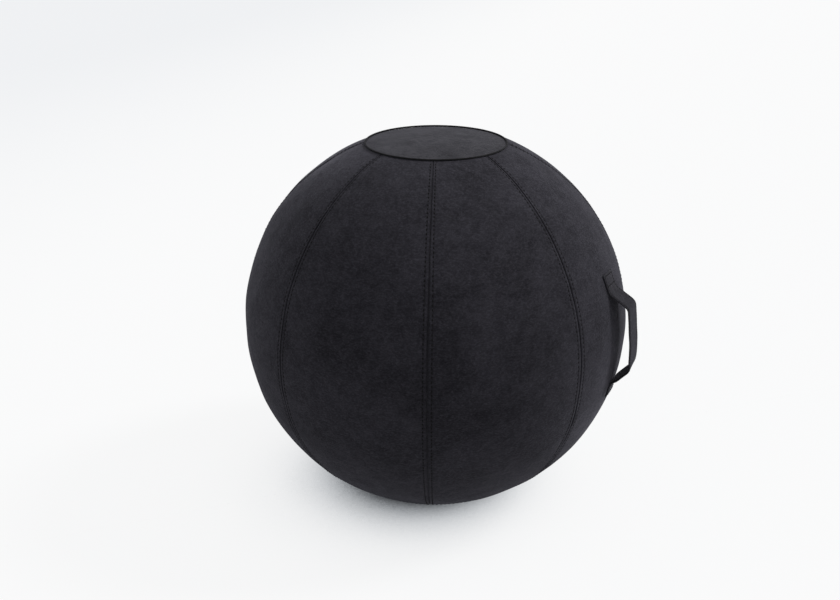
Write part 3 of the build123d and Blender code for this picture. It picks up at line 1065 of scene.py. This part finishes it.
@dataclass
class TopPanel:
    """The round panel on top and the piped cord in the seam around it."""

    ball: Ball
    wardrobe: Wardrobe
    edge_reach: float = 0.0013
    edge_depth: float = 0.0030
    edge_steps: int = 7
    tongue_gap: float = 0.0004
    swells: tuple[Waves, Waves] = (Waves(0.09, 0.0005, 21), Waves(0.03, 0.00012, 22))
    swell_fade: float = 0.010
    pucker_height: float = 0.00016
    pucker_counts: tuple[int, int] = (61, 7)
    pucker_reach: float = 0.012
    pucker_fade: float = 0.003
    slices: int = 288
    rings: int = 43
    ring_crowding: float = 1.25
    cord: float = 0.0028
    cord_seat: float = 0.42
    cord_steps: int = 540
    cord_sides: int = 14
    wrinkle_depth: float = 0.035
    wrinkle_counts: tuple[int, int] = (190, 11)

    def relief(self, points: Array, azimuth: Array, inwards: Array) -> Array:
        """How far the outer face stands over its dome: soft swells, and puckers at the seam.

        Args:
            points: Points of the panel on the floor's plane.
            azimuth: Their azimuths.
            inwards: Their distances from the panel's edge.

        Returns:
            The height for each point.
        """
        swell = self.swells[0].at(points) + self.swells[1].at(points)
        many, few = self.pucker_counts
        pucker = self.pucker_height * np.sin(azimuth * many + 2 * np.sin(azimuth * few))
        pucker = pucker * np.exp(-inwards / self.pucker_reach)
        return (ease(inwards, 0.0, self.swell_fade) * swell
                + pucker * ease(inwards, 0.0, self.pucker_fade))

    def panel(self) -> bpy.types.Object:
        """The panel: a shallow dome whose edge turns down into the ring seam."""
        ball, edge = self.ball, self.ball.ring_radius - self.tongue_gap
        out, deep, inn, inner_deep = turned_edge(
            self.edge_reach, self.edge_depth, ball.cloth, self.edge_steps)
        ways = even_shares(self.rings) ** self.ring_crowding
        azimuth = full_turn(self.slices)[None, :]
        faces = []
        for near, depth, flat in ((out, deep, 0.0), (inn, inner_deep, ball.cloth)):
            inwards = np.concatenate([near, near[-1] + (edge - near[-1]) * ways])[:, None]
            reach = edge - inwards
            sink = np.concatenate([depth, np.full(len(ways), flat)])[:, None]
            height = ball.dome_height(reach) - sink
            if flat == 0.0:
                plain = spun(reach, 0.0, azimuth)
                height = height + self.relief(plain, azimuth, edge - reach)
            faces.append(spun(reach, height, azimuth))
        faces[0][-1] = faces[0][-1].mean(axis=0)
        return make_shell("top_disc", faces[0], faces[1], wrap=True)

    def piping(self) -> bpy.types.Object:
        """The cord: a ring of bias-cut cloth that wrinkles finely as it is bent round."""
        ball, reach = self.ball, self.ball.ring_radius
        tilt = (math.asin(reach / ball.dome_bend) + math.asin(reach / ball.radius)) / 2
        azimuth = full_turn(self.cord_steps)
        away = spun(1.0, 0.0, azimuth)
        ups = away * math.sin(tilt) + UP * math.cos(tilt)
        sides = away * math.cos(tilt) - UP * math.sin(tilt)
        path = away * reach + UP * ball.ring_level + ups * self.cord * self.cord_seat
        turn, at = full_turn(self.cord_sides), azimuth[:, None]
        many, few = self.wrinkle_counts
        wrinkle = 1 + self.wrinkle_depth * np.sin(at * many + turn + 3 * np.sin(at * few))
        section = self.cord / 2 * wrinkle[..., None] * circle(turn)
        return make_tube("ring_piping", path, sides, ups, section, ring=True)

    def build(self) -> None:
        """Makes the panel and its piping."""
        panel = self.panel()
        self.wardrobe.dress(panel, "top", Slot.TOP)
        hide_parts("top_panel")
        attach(panel, Body.COVER.value)
        piping = self.piping()
        self.wardrobe.dress(piping, "piping", Slot.PIPING)
        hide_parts("top_piping")
        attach(piping, Body.COVER.value)


@dataclass
class BasePanel:
    """The round panel underneath: flat on the floor, then up round the ball to the zip."""

    ball: Ball
    wardrobe: Wardrobe
    hem_stitch_inset: float = 0.003
    hem_points: int = 2400
    hem_steps: int = 9
    arc_points: int = 40
    step: float = 0.003
    rounding: float = 2.2
    slices: int = 432
    gathers: Waves = Waves(0.030, 0.00020, 31)
    gather_start: float = 0.006
    gather_full: float = 0.016
    hem_fade: float = 0.004
    stitches: Stitches = Stitches()

    @property
    def crease(self) -> float:
        """The polar angle where the flat part ends."""
        return math.asin(self.ball.flat_radius / self.ball.radius)

    @property
    def edge(self) -> float:
        """The polar angle of the panel's hem, beside the zip."""
        return self.ball.zip_polar - self.ball.hem_angle

    def profile(self) -> Array:
        """Reaches and levels of the outer face: a flat, a rounded crease and the ball's arc."""
        ball = self.ball
        arc = np.linspace(self.crease, self.edge - ball.cloth / 2 / ball.radius, self.arc_points)
        rise = (0.0, ball.centre) + ball.radius * np.stack([np.sin(arc), -np.cos(arc)], axis=-1)
        return soften(even_path(np.concatenate([[(0.0, 0.0)], rise]), self.step), self.rounding)

    def panel(self) -> bpy.types.Object:
        """The panel as a closed cloth with a rounded hem and soft gathers above the crease."""
        ball, outer = self.ball, self.profile()
        inner = inset(outer, ball.cloth)
        middle, out = (outer[-1] + inner[-1]) / 2, (outer[-1] - inner[-1]) / 2
        on = unit(outer[-1] - outer[-2]) * ball.cloth / 2
        turn = np.linspace(0, np.pi, self.hem_steps)[1:-1, None]
        hem = middle + out * np.cos(turn) + on * np.sin(turn)
        points = lathe(np.concatenate([outer, hem, inner[::-1]]), self.slices)
        reach, crease = np.linalg.norm(points[..., :2], axis=-1), ball.flat_radius
        fade = ease(reach, crease + self.gather_start, crease + self.gather_full)
        fade = fade * ease(outer[-1, 0] - reach, 0.0, self.hem_fade)
        fade[len(outer):] = 0
        height = self.gathers.at(points) * fade
        points = points + height[..., None] * ball.outward(points)
        quads = grid_quads(*points.shape[:2], True)
        return weld(make_object("base_disc", points.reshape(-1, 3), quads))

    def build(self) -> None:
        """Makes the panel and the stitches that hold the zip's inner tape."""
        ball = self.ball
        panel = self.panel()
        self.wardrobe.dress(panel, "base", Slot.BASE)
        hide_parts("base_panel")
        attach(panel, Body.COVER.value)
        area = np.pi * ball.flat_radius**2
        area += TAU * ball.radius**2 * (math.cos(self.crease) - math.cos(self.edge))
        azimuth = np.linspace(0, TAU, self.hem_points)
        polar = self.edge - self.hem_stitch_inset / ball.radius
        points = ball.points(ball.radius, polar, azimuth)
        thread = self.stitches.piece("base_hem_stitches", [(points, ball.outward(points))])
        self.wardrobe.dress(thread, "thread")
        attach(thread, Body.COVER.value)


@dataclass
class BaseZip:
    """The zip round the base: two woven tapes, two wound coils, stops, slider and pull."""

    ball: Ball
    wardrobe: Wardrobe
    slot: float = 0.0011
    strip_length: float = 0.068
    strip_overlap: float = 0.003
    strip_rounding: float = 0.0012
    strip_thinning: float = 0.4
    strip_wave: float = 0.00012
    strip_wave_count: int = 41
    play: float = 0.0003
    end_length: float = 0.006
    tape_top: float = 0.3229
    tape_thickness: float = 0.0006
    tape_width: float = 0.014
    ridge_height: float = 0.00008
    ridge_pitch: float = 0.0046
    coil_foot: float = 0.3230
    coil_width: float = 0.0024
    coil_height: float = 0.0021
    head_gap: float = 0.0004
    wire: float = 0.00066
    pitch: float = 0.0015
    tape_grid: tuple[int, int] = (420, 12)
    strip_grid: tuple[int, int] = (34, 25)
    turn_points: int = 10
    wire_sides: int = 5
    bevel: float = 0.00014
    bevel_degrees: float = 40.0
    smooth_degrees: float = 32.0
    flat_degrees: float = 0.5

    @property
    def tape_end(self) -> float:
        """The turn by which the tapes run on past each end of the coils."""
        return self.end_length / self.ball.zip_radius

    @property
    def half_arc(self) -> float:
        """Half the turn that the coils take round the ball."""
        gap = (self.strip_length + 2 * self.play) / self.ball.zip_radius
        return math.pi - gap / 2 - self.tape_end

    def place(self, reach: Array, radius: Array, azimuth: Array) -> Array:
        """Points beside the zip's middle line, by their distance from it along the ball."""
        return self.ball.points(radius, self.ball.zip_polar + reach / self.ball.radius, azimuth)

    def tape(self, side: int) -> bpy.types.Object:
        """One tape, on the outer side or at -1 the inner: a thin strip with low ridges along it."""
        turn, (rows, columns) = self.half_arc + self.tape_end, self.tape_grid
        azimuth = np.linspace(-turn, turn, rows)[:, None]
        reach = np.linspace(self.slot / 2, self.slot / 2 + self.tape_width, columns)[None, :]
        ridge = self.ridge_height * (0.9 * np.sin(reach * TAU / self.ridge_pitch) - 1)
        outer = self.place(side * reach, self.tape_top + ridge, azimuth)
        inner = self.place(side * reach, self.tape_top - self.tape_thickness, azimuth)
        uv = np.stack(np.broadcast_arrays(reach, azimuth * self.ball.zip_radius), axis=-1)
        return make_shell("outer_tape" if side > 0 else "inner_tape", outer, inner, uv=uv)

    def coil(self, side: int) -> bpy.types.Object:
        """One coil: a wire that goes round an oval once a pitch as it runs along the zip.

        Args:
            side: 1 for the outer coil, -1 for the inner one, which is half a pitch behind.

        Returns:
            The coil.
        """
        turns = 2 * self.half_arc * self.ball.zip_radius / self.pitch
        phase = np.arange(0, turns, 1 / self.turn_points)
        azimuth = -self.half_arc + phase * self.pitch / self.ball.zip_radius
        angle = TAU * (phase + (0.5 if side > 0 else 0.0))
        low = self.head_gap + self.wire / 2
        high = self.slot / 2 + self.coil_width - self.wire / 2
        wide, tall = (high - low) / 2, (self.coil_height - self.wire) / 2
        middle, level = side * (low + high) / 2, self.coil_foot + self.coil_height / 2
        reach = middle + side * wide * np.cos(angle)
        path = self.place(reach, level + tall * np.sin(angle), azimuth)
        way = unit(np.gradient(path, axis=0))
        sides = unit(path - self.place(middle, level, azimuth))
        ups = unit(np.cross(way, sides))
        section = self.wire / 2 * circle(full_turn(self.wire_sides))
        name = "outer_coil" if side > 0 else "inner_coil"
        return make_tube(name, path, np.cross(ups, way), ups, section)

    def strip(self) -> bpy.types.Object:
        """The cloth strip that closes the ring between the zip's two ends."""
        start, (rows, columns) = self.half_arc + self.tape_end, self.strip_grid
        start += self.play / self.ball.zip_radius
        turn = self.strip_length / self.ball.zip_radius
        azimuth = np.linspace(start, start + turn, rows)[:, None]
        half = self.ball.zip_opening / 2 + self.strip_overlap
        reach = half * np.sin(np.linspace(-np.pi / 2, np.pi / 2, columns))[None, :]
        drawn = ease(np.abs(reach), half - self.strip_rounding, half)
        rim = self.strip_thinning * self.ball.cloth * (1 - np.sqrt(np.clip(1 - drawn**2, 0, 1)))
        wave = self.strip_wave * (np.sin(azimuth * self.strip_wave_count) - 1)
        outer = self.place(reach, self.tape_top - rim + wave, azimuth)
        inner = self.place(reach, self.tape_top - self.ball.cloth + rim, azimuth)
        return make_shell("end_strip", outer, inner)

    def rounded_copy(self, node: str, name: str) -> bpy.types.Object:
        """A copy of a CAD node with its triangles merged and its edges slightly rounded.

        Args:
            node: The CAD node.
            name: The copy's name.

        Returns:
            The copy, with a bevel of its edges.
        """
        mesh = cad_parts[node].data.copy()
        mesh.name = name
        flat = math.radians(self.flat_degrees)
        rework(mesh, lambda work: bmesh.ops.dissolve_limit(
            work, angle_limit=flat, verts=work.verts, edges=work.edges))
        mesh.polygons.foreach_set("use_smooth", np.ones(len(mesh.polygons), bool))
        mesh.set_sharp_from_angle(angle=math.radians(self.smooth_degrees))
        piece = link(name, mesh)
        bevel = piece.modifiers.new("rounded_edges", "BEVEL")
        bevel.width, bevel.segments, bevel.limit_method = self.bevel, 2, "ANGLE"
        bevel.angle_limit = math.radians(self.bevel_degrees)
        return piece

    def build(self) -> None:
        """Makes the tapes, coils, strip, slider and pull, and dresses the stops."""
        for side, word in ((-1, "inner"), (1, "outer")):
            pieces = ((self.tape(side), "tape", Slot.TAPE), (self.coil(side), "coil", Slot.COIL))
            for piece, finish, slot in pieces:
                self.wardrobe.dress(piece, finish, slot)
                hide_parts(f"zip_{finish}_{word}")
                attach(piece, Body.COVER.value)
        strip = self.strip()
        self.wardrobe.dress(strip, "base", Slot.BASE)
        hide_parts("zip_end_strip")
        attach(strip, Body.COVER.value)
        for node, name, body in (
            ("zip_slider", "slider_body", Body.SLIDER), ("zip_pull", "slider_pull", Body.PULL),
        ):
            piece = self.rounded_copy(node, name)
            self.wardrobe.dress(piece, "metal", Slot.METAL)
            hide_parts(node)
            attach(piece, body.value)
        for node in ("zip_start_stop", "zip_end_stops"):
            self.wardrobe.dress_node(node, "metal")


@dataclass
class AirBladder:
    """The air bladder inside the cover, with a flat land round its valve."""

    ball: Ball
    wardrobe: Wardrobe
    radius: float = 0.32085
    floor: float = 0.0018
    wall: float = 0.0015
    facets_up: int = 14
    facets_round: int = 24
    hole_radius: float = 0.0046
    hole_sides: int = 48
    bit_reach: float = 0.006
    land_radius: float = 0.011
    land_fade: float = 2.6
    land_depth: float = 0.02
    side_points: int = 200
    crown_points: int = 40
    fine: int = 3
    step: float = 0.006
    rounding: float = 2.0
    slices: int = 180

    def crown(self, depth: float) -> tuple[float, float, float]:
        """Where the shallow crown meets the round part of the skin at a depth.

        Both are circles in the profile, and they cross at the level where the difference of
        their radii squared, over twice the distance of their centres, puts it.

        Args:
            depth: How far inside the bladder's outer face the skin is.

        Returns:
            The level of the crown's centre, its bend and the reach of the crossing.
        """
        ball, radius = self.ball, self.radius - depth
        bend = ball.dome_bend - (self.floor + depth)
        foot = float(ball.dome_height(0.0)) - ball.dome_bend
        drop = foot - ball.centre
        level = (radius**2 - bend**2 + drop**2) / (2 * drop)
        return foot, bend, math.sqrt(radius**2 - level**2)

    def round_part(self, depth: float) -> tuple[float, float]:
        """The polar angles between which the skin at a depth is round."""
        radius, reach = self.radius - depth, self.crown(depth)[2]
        low = math.acos((self.ball.centre - (self.floor + depth)) / radius)
        return low, math.pi - math.asin(reach / radius)

    def profile(self, depth: float) -> Array:
        """Reaches and levels: a flat foot, the round ball and a shallow crown, corners softened."""
        foot, bend, reach = self.crown(depth)
        side = np.linspace(*self.round_part(depth), self.side_points)
        arc = np.stack([np.sin(side), -np.cos(side)], axis=-1)
        over = np.linspace(reach, 0, self.crown_points)[1:]
        top = np.stack([over, foot + np.sqrt(bend**2 - over**2)], axis=-1)
        middle = [(0.0, self.floor + depth)]
        path = np.concatenate([middle, (0.0, self.ball.centre) + (self.radius - depth) * arc, top])
        return soften(even_path(path, self.step / self.fine), self.rounding)[::self.fine]

    def valve_plane(self) -> Line:
        """The middle and outward direction of the flat land that carries the valve."""
        low, high = self.round_part(0.0)
        polar = np.array([low, low + (high - low) / self.facets_up])[:, None]
        half = np.pi / self.facets_round
        corners = self.ball.points(self.radius, polar, np.array([-half, half])[None, :])
        around, up = corners[0, 1] - corners[0, 0], corners[1, 0] - corners[0, 0]
        return corners.reshape(-1, 3).mean(axis=0), unit(np.cross(around, up))

    def shell(self) -> bpy.types.Object:
        """The bladder: an outer and an inner skin, flattened round the valve's hole."""
        middle, out = self.valve_plane()
        skins, faces, first = [], [], 0
        for depth in (0.0, self.wall):
            points = lathe(self.profile(depth), self.slices)
            above = (points - middle) @ out
            aside = np.linalg.norm(points - middle - above[..., None] * out, axis=-1)
            height = above + depth
            flat = 1 - ease(aside, self.land_radius, self.land_fade * self.land_radius)
            flat = np.where(np.abs(height) < self.land_depth, flat, 0)
            quads = grid_quads(*points.shape[:2], True)
            skins.append((points - (flat * height)[..., None] * out).reshape(-1, 3))
            faces.append((quads if depth == 0 else quads[:, ::-1]) + first)
            first += len(skins[-1])
        piece = make_object("air_bladder", np.concatenate(skins), np.concatenate(faces))
        rework(piece.data)
        return self.drilled(piece, middle, out)

    def drilled(self, piece: bpy.types.Object, middle: Array, out: Array) -> bpy.types.Object:
        """Cuts the valve's hole through the skin, round the line from the middle outwards."""
        side = unit(np.cross(out, LEVEL))
        other = np.cross(out, side)
        path = middle + np.array([[-self.bit_reach], [self.bit_reach]]) * out
        section = self.hole_radius * circle(full_turn(self.hole_sides))
        bit = make_tube("hole_bit", path, np.stack([side] * 2), np.stack([other] * 2), section)
        cut = piece.modifiers.new("hole", "BOOLEAN")
        cut.operation, cut.object, cut.solver = "DIFFERENCE", bit, "EXACT"
        graph = bpy.context.evaluated_depsgraph_get()
        mesh = bpy.data.meshes.new_from_object(piece.evaluated_get(graph), depsgraph=graph)
        piece.modifiers.clear()
        piece.data = mesh
        bpy.data.objects.remove(bit)
        return piece

    def build(self) -> None:
        """Makes the bladder and dresses its valve."""
        bladder = self.shell()
        self.wardrobe.dress(bladder, "bladder", Slot.BLADDER)
        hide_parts("bladder")
        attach(bladder, Body.COVER.value)
        for node in ("valve_seat", "valve_plug"):
            self.wardrobe.dress_node(node, "valve")


@dataclass
class StrapHandle:
    """The strap handle: cloth folded to a strap, sewn down at both ends and bowed out between."""

    ball: Ball
    wardrobe: Wardrobe
    width: float = 0.0394
    thickness: float = 0.0026
    play: float = 0.0003
    reach: float = 0.024
    latitude_degrees: tuple[float, ...] = (23.4, 18.1, 12.9, 1.6, -4.3, -10.1, -14.4)
    shares: tuple[float, ...] = (0.0, 0.0, 0.99, 0.96, 1.0, 0.0, 0.0)
    bends: tuple[float, ...] = (0.008, 0.013, 0.220, 0.015, 0.014)
    bend_points: int = 24
    rounding: float = 2.5
    step: float = 0.0011
    stitch_inset: float = 0.0028
    box_length: float = 0.0200
    free_start: float = 0.012
    lift_span: Pair = (0.0002, 0.007)
    slant: float = 0.0082
    slant_span: Pair = (0.010, 0.075)
    splay: float = 0.0014
    splay_span: Pair = (0.018, 0.050)
    skew_span: Pair = (0.018, 0.055)
    uneven_width: Pair = (0.006, 0.047)
    skew: float = 0.066
    twist: float = 0.050
    arm_twist: float = 2.6
    arm_span: Pair = (0.082, 0.058)
    twist_middle: float = 0.3
    groove: Pair = (0.00038, 0.0009)
    pucker: Pair = (0.00010, 0.0048)
    pucker_inset: float = 0.001
    pucker_width: float = 0.002
    wave: Pair = (0.000096, 0.031)
    wave_slant: float = 90.0
    closeness: float = 0.95
    bluntness: float = 0.12
    face_points: int = 61
    edge_points: int = 9
    end_points: int = 60
    # Pressed pile and painted groove shade along both stitch lines: strength and width.
    pressed_and_shaded: Pair = (0.95, 0.0012)
    swing: Triple = (0.315989, 0.0, 0.32607)
    swing_out: Triple = (0.9975641, 0.0, 0.0697565)
    stitches: Stitches = Stitches(
        pitch=0.0050, share=0.72, thread=0.00105, lift=0.00030, sink=0.00045)

    @property
    def line_reach(self) -> float:
        """How far from the strap's middle its lines of stitches run."""
        return self.width / 2 - self.stitch_inset

    def middle_line(self) -> Array:
        """The strap's middle line: straight runs between rounded corners.

        A corner's round starts before it by the bend's radius times the tangent of half the
        turn, and runs along a circle of that radius.

        Returns:
            Points at even steps, with the corners softened.
        """
        seat = self.ball.radius + self.play + self.thickness / 2
        shares = np.array(self.shares)
        polar = np.radians(90 + np.array(self.latitude_degrees))
        radius = seat + shares * self.reach - self.play * (1 - shares)
        corners = self.ball.points(radius, polar, 0.0)
        path = [corners[:1]]
        for before, corner, after, bend in zip(corners, corners[1:], corners[2:], self.bends):
            into, onward = unit(corner - before), unit(after - corner)
            turn = math.acos(float(np.clip(into @ onward, -1, 1)))
            across = unit(onward - (onward @ into) * into)
            angle = np.linspace(0, turn, self.bend_points)[:, None]
            start = corner - bend * math.tan(turn / 2) * into
            path.append(start + bend * (np.sin(angle) * into + (1 - np.cos(angle)) * across))
        path.append(corners[-1:])
        return soften(even_path(np.concatenate(path), self.step), self.rounding)

    @cached_property
    def frames(self) -> tuple[Array, ...]:
        """The middle line, its outward direction, its length so far and how closely it lies.

        The last is 1 where the strap lies on the ball and 0 where it has left it.
        """
        path = self.middle_line()
        ups = unit(np.cross(np.gradient(path, axis=0), LEVEL))
        run = np.arange(len(path)) * np.linalg.norm(np.diff(path, axis=0), axis=1).mean()
        over = np.linalg.norm(path - self.ball.centre * UP, axis=1) - self.ball.radius
        return path, ups, run, 1 - ease(over - self.thickness / 2, *self.lift_span)

    def aside(self, run: Array) -> Array:
        """How far the strap lies off its straight line: its upper end is sewn on slanting."""
        return -self.slant * (1 - ease(run, *self.slant_span))

    def widening(self, run: Array) -> Array:
        """The factor of its width, pressed wider at its upper sewn end and a little uneven."""
        height, length = self.uneven_width
        splay = self.splay / self.width * (1 - ease(run, *self.splay_span))
        return 1 + splay + height * np.sin(run * TAU / length)

    def sides(self, path: Array, run: Array) -> Array:
        """The way across the strap: level, but running a little up it at its askew upper end."""
        skew = self.skew * (1 - ease(run, *self.skew_span))
        return LEVEL + skew[:, None] * unit(np.gradient(path, axis=0))

    def turned(self, across: Array, level: Array, run: Array, lying: Array) -> Array:
        """The level after the free loop's slight twist, which draws in the edge nearer to -Y.

        The lower arm, which ends the free loop, is twisted the other way and more.

        Args:
            across: Distance across the strap.
            level: Height over the strap's middle before the twist.
            run: Length along the strap.
            lying: How closely the strap lies on the ball.

        Returns:
            The new level.
        """
        start, full = (self.frames[2].max() - span for span in self.arm_span)
        twist = self.twist * (1 - self.arm_twist * ease(run, start, full))
        return level + twist * (1 - lying) * (across - self.twist_middle * self.width / 2)

    def face_height(self, across: Array, run: Array) -> Array:
        """How far a face stands off the middle.

        It is full between the stitch lines, drawn in along them, puckered in short sine waves
        outside them, and softly uneven.

        Args:
            across: Distance across the strap.
            run: Length along the strap.

        Returns:
            The height for each point.
        """
        beside = np.abs(across) - self.line_reach
        groove = self.groove[0] * bell(beside, self.groove[1])
        pucker = self.pucker[0] * np.sin(run * TAU / self.pucker[1])
        pucker = pucker * bell(beside - self.pucker_inset, self.pucker_width)
        soft = self.wave[0] * np.sin(run * TAU / self.wave[1] + self.wave_slant * across)
        return self.thickness / 2 - groove + pucker - self.pucker[0] + soft

    def drop(self, across: Array, lying: Array) -> Array:
        """How far the strap's edges bend down to the ball, where it lies on it."""
        return lying * across**2 / (2 * self.ball.radius * self.closeness)

    def placed(self, across: Array, level: Array, run: Array, lying: Array) -> Line:
        """Distances across and levels of the strap as it lies: bent, twisted, wide and aside."""
        level = self.turned(across, level - self.drop(across, lying), run, lying)
        return across * self.widening(run) + self.aside(run), level

    def strap(self) -> bpy.types.Object:
        """The strap: a flat section with round edges, drawn in along both stitch lines."""
        path, ups, run, lying = self.frames
        half, thick = self.width / 2, self.thickness / 2
        over = (half - thick) * np.sin(np.linspace(-np.pi / 2, np.pi / 2, self.face_points))
        turn = np.linspace(np.pi / 2, -np.pi / 2, self.edge_points)[1:-1]
        edge = half - thick + thick * np.cos(turn)
        across = np.concatenate([over, edge, over[::-1], -edge])
        full = np.ones(self.face_points)
        face = np.concatenate([full, np.sin(turn), -full, -np.sin(turn)])
        # Painted groove shade and pressed pile along the stitch lines.
        groove_shade_marks = self.pressed_and_shaded[0] * bell(np.abs(across) - half + self.stitch_inset, self.pressed_and_shaded[1])
        run, lying = run[:, None], lying[:, None]
        end = np.clip(np.minimum(run, run[-1] - run) / thick, 0, 1)
        blunt = np.sqrt(np.clip(1 - (1 - end) ** 2, self.bluntness, 1))
        level = face * self.face_height(across, run) * blunt
        section = np.stack(self.placed(across, level, run, lying), axis=-1)
        sides = self.sides(path, run[:, 0])
        return make_tube("handle_strap", path, sides, ups, section, pressed_and_shaded=groove_shade_marks)

    def line(self, across: Array, rows: Array, face: int) -> Line:
        """A stitch line on one face: points at distances across the strap, and face directions."""
        path, ups, run, lying = self.frames
        path, ups, sides, run, lying = (
            values[rows] for values in (path, ups, self.sides(path, run), run, lying))
        across, level = self.placed(across, face * self.face_height(across, run), run, lying)
        return path + across[:, None] * sides + level[:, None] * ups, face * ups

    def stitch_lines(self) -> list[Line]:
        """Both edges' lines on both faces, and two lines across each sewn end."""
        run, reach = self.frames[2], self.line_reach
        from_end = np.minimum(run, run[-1] - run)
        inside = np.flatnonzero(from_end > self.stitch_inset)
        free = np.flatnonzero(from_end > self.box_length + self.free_start)
        lines = [self.line(np.full(len(rows), side * reach), rows, face)
                 for rows, face in ((inside, 1), (free, -1)) for side in (-1, 1)]
        across = np.linspace(-reach, reach, self.end_points)
        edge, box = self.stitch_inset, self.box_length
        for at in (edge, box, run[-1] - box, run[-1] - edge):
            row = np.full(len(across), int(np.abs(run - at).argmin()))
            lines.append(self.line(across, row, 1))
        return lines

    def build(self) -> None:
        """Makes the strap and its stitches."""
        strap = self.strap()
        self.wardrobe.dress(strap, "strap", Slot.STRAP)
        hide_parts("handle_upper_end", "handle_loop", "handle_lower_end")
        thread = self.stitches.piece("handle_stitches", self.stitch_lines())
        self.wardrobe.dress(thread, "thread")
        for piece in (strap, thread):
            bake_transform(piece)


@dataclass(frozen=True)
class Sun:
    """A soft sun, placed by its azimuth and elevation as the camera sees them."""

    name: str
    azimuth_degrees: float
    elevation_degrees: float
    strength: float
    softness_degrees: float


@dataclass
class Studio:
    """The floor, the soft light and the camera of the photograph."""

    ball: Ball
    eye: Triple = (0.6585, -1.4536, 0.9985)
    look: Triple = (-0.3943, 0.8339, -0.3862)
    lens: float = 42.81
    sensor: float = 36.0
    sight: float = 200.0
    floor_reach: float = 40.0
    floor_colour: Colour = (0.955, 0.957, 0.960)
    # Painted shade: the floor greys to this tone towards -X, on the camera's left, away from the
    # ball.
    floor_far_shade: Colour = (0.860, 0.872, 0.890)
    floor_shade: Colour = (0.80, 0.87, 0.955)
    floor_bounce: Colour = (0.48, 0.48, 0.48)
    floor_roughness: float = 0.9
    floor_glow: float = 0.935
    floor_share: float = 0.06
    far_shade_way: Pair = (-0.85, -0.10)
    far_shade_span: Pair = (0.7, 3.2)
    contact_reach: float = 1.2
    contact_power: float = 5.6
    contact_depth: float = 1.85
    contact_lean: Triple = (0.24, 0.18, 1.0)
    contact_samples: int = 16
    sky: Colour = (0.975, 0.985, 1.0)
    sky_strength: float = 0.52
    sky_seen: float = 0.95
    suns: tuple[Sun, ...] = (
        Sun("key", 77.0, 44.0, 2.25, 14.0),
        Sun("top", 20.0, 80.0, 0.40, 70.0),
    )

    def camera(self) -> None:
        """Sets up the camera: it looks along its own -Z, with +X level and to the right."""
        look = Vector(self.look).normalized()
        right = look.cross(Vector(UP)).normalized()
        data = bpy.data.cameras.new("photo_camera")
        data.lens, data.sensor_width, data.clip_end = self.lens, self.sensor, self.sight
        camera = link("photo_camera", data)
        turn = Matrix((right, right.cross(look), -look)).transposed().to_4x4()
        camera.matrix_world = Matrix.Translation(self.eye) @ turn
        bpy.context.scene.camera = camera

    def floor(self) -> None:
        """A wide pale floor glowing to the camera, greyed to -X by painted shade and by the contact
        shade.

        The shade is the covered share of the sky, to a power and deepened. The sky is looked
        for around a line that leans from straight up to the side that the light comes from.
        """
        reach = self.floor_reach
        sides = ((-1, -1, 0), (1, -1, 0), (1, 1, 0), (-1, 1, 0))
        plane = make_object("studio_floor", reach * np.array(sides), np.array([[0, 1, 2, 3]]))
        shader = Shader("studio_floor")
        place = shader.node("SeparateXYZ", vector=shader.coordinates["Object"]).outputs
        # Painted shade: greys the floor's colour towards -X.
        far_shade = shader.spread(shader.weigh(*zip(place[:2], self.far_shade_way)), *self.far_shade_span)
        seen, direct = shader.blend(far_shade, self.floor_colour, self.floor_far_shade), shader.seen()
        lean = Vector(self.contact_lean).normalized()
        lean = shader.node("CombineXYZ", x=lean.x, y=lean.y, z=lean.z).outputs[0]
        under = shader.node("AmbientOcclusion", distance=self.contact_reach, normal=lean)
        under.samples = self.contact_samples
        covered = shader.math("SUBTRACT", 1.0, under.outputs["AO"])
        closed = shader.math("MULTIPLY", shader.math("POWER", covered, self.contact_power),
                             self.contact_depth, clamp=True)
        shade = shader.math("SUBTRACT", 1.0, closed)
        glow = shader.math("MULTIPLY", direct, shader.math("MULTIPLY", shade, self.floor_glow))
        lit = tuple(self.floor_share * part for part in self.floor_colour)
        plane.data.materials.append(shader.finish(
            shader.blend(direct, self.floor_bounce, lit), self.floor_roughness,
            specular_ior_level=0.0, emission_strength=glow,
            emission_color=shader.blend(closed, seen, self.floor_shade),
        ))

    def lights(self) -> None:
        """An even sky, brighter to the camera than as a light, and soft suns."""
        world = bpy.data.worlds.new("studio_sky")
        bpy.context.scene.world = world
        world.use_nodes = True
        nodes = Nodes(world.node_tree)
        more = nodes.math("MULTIPLY", nodes.seen(), self.sky_seen - self.sky_strength)
        nodes.feed_named(world.node_tree.nodes["Background"], color=self.sky,
                         strength=nodes.math("ADD", more, self.sky_strength))
        facing = math.atan2(self.look[1], self.look[0])
        for sun in self.suns:
            data = bpy.data.lights.new(f"{sun.name}_sun", "SUN")
            data.energy, data.angle = sun.strength, math.radians(sun.softness_degrees)
            around = facing - math.radians(sun.azimuth_degrees)
            up = math.radians(sun.elevation_degrees)
            towards = Vector(spun(math.cos(up), math.sin(up), around))
            turn = towards.to_track_quat("Z", "Y").to_matrix().to_4x4()
            link(f"{sun.name}_sun", data).matrix_world = turn

    def build(self) -> None:
        """Sets the camera, the floor and the light, and a plain view transform."""
        bpy.context.scene.view_settings.view_transform = "Standard"
        self.camera()
        self.floor()
        self.lights()


def main() -> None:
    """Builds the room and the sub-assemblies in order."""
    logging.basicConfig(level=logging.INFO, format="%(name)s: %(message)s")
    ball = Ball()
    wardrobe = Wardrobe(Finishes())
    Studio(ball).build()
    for assembly in (GoreCover, TopPanel, BasePanel, BaseZip, AirBladder, StrapHandle):
        log.info("building %s", assembly.__name__)
        assembly(ball, wardrobe).build()


if __name__ == "__main__":
    main()
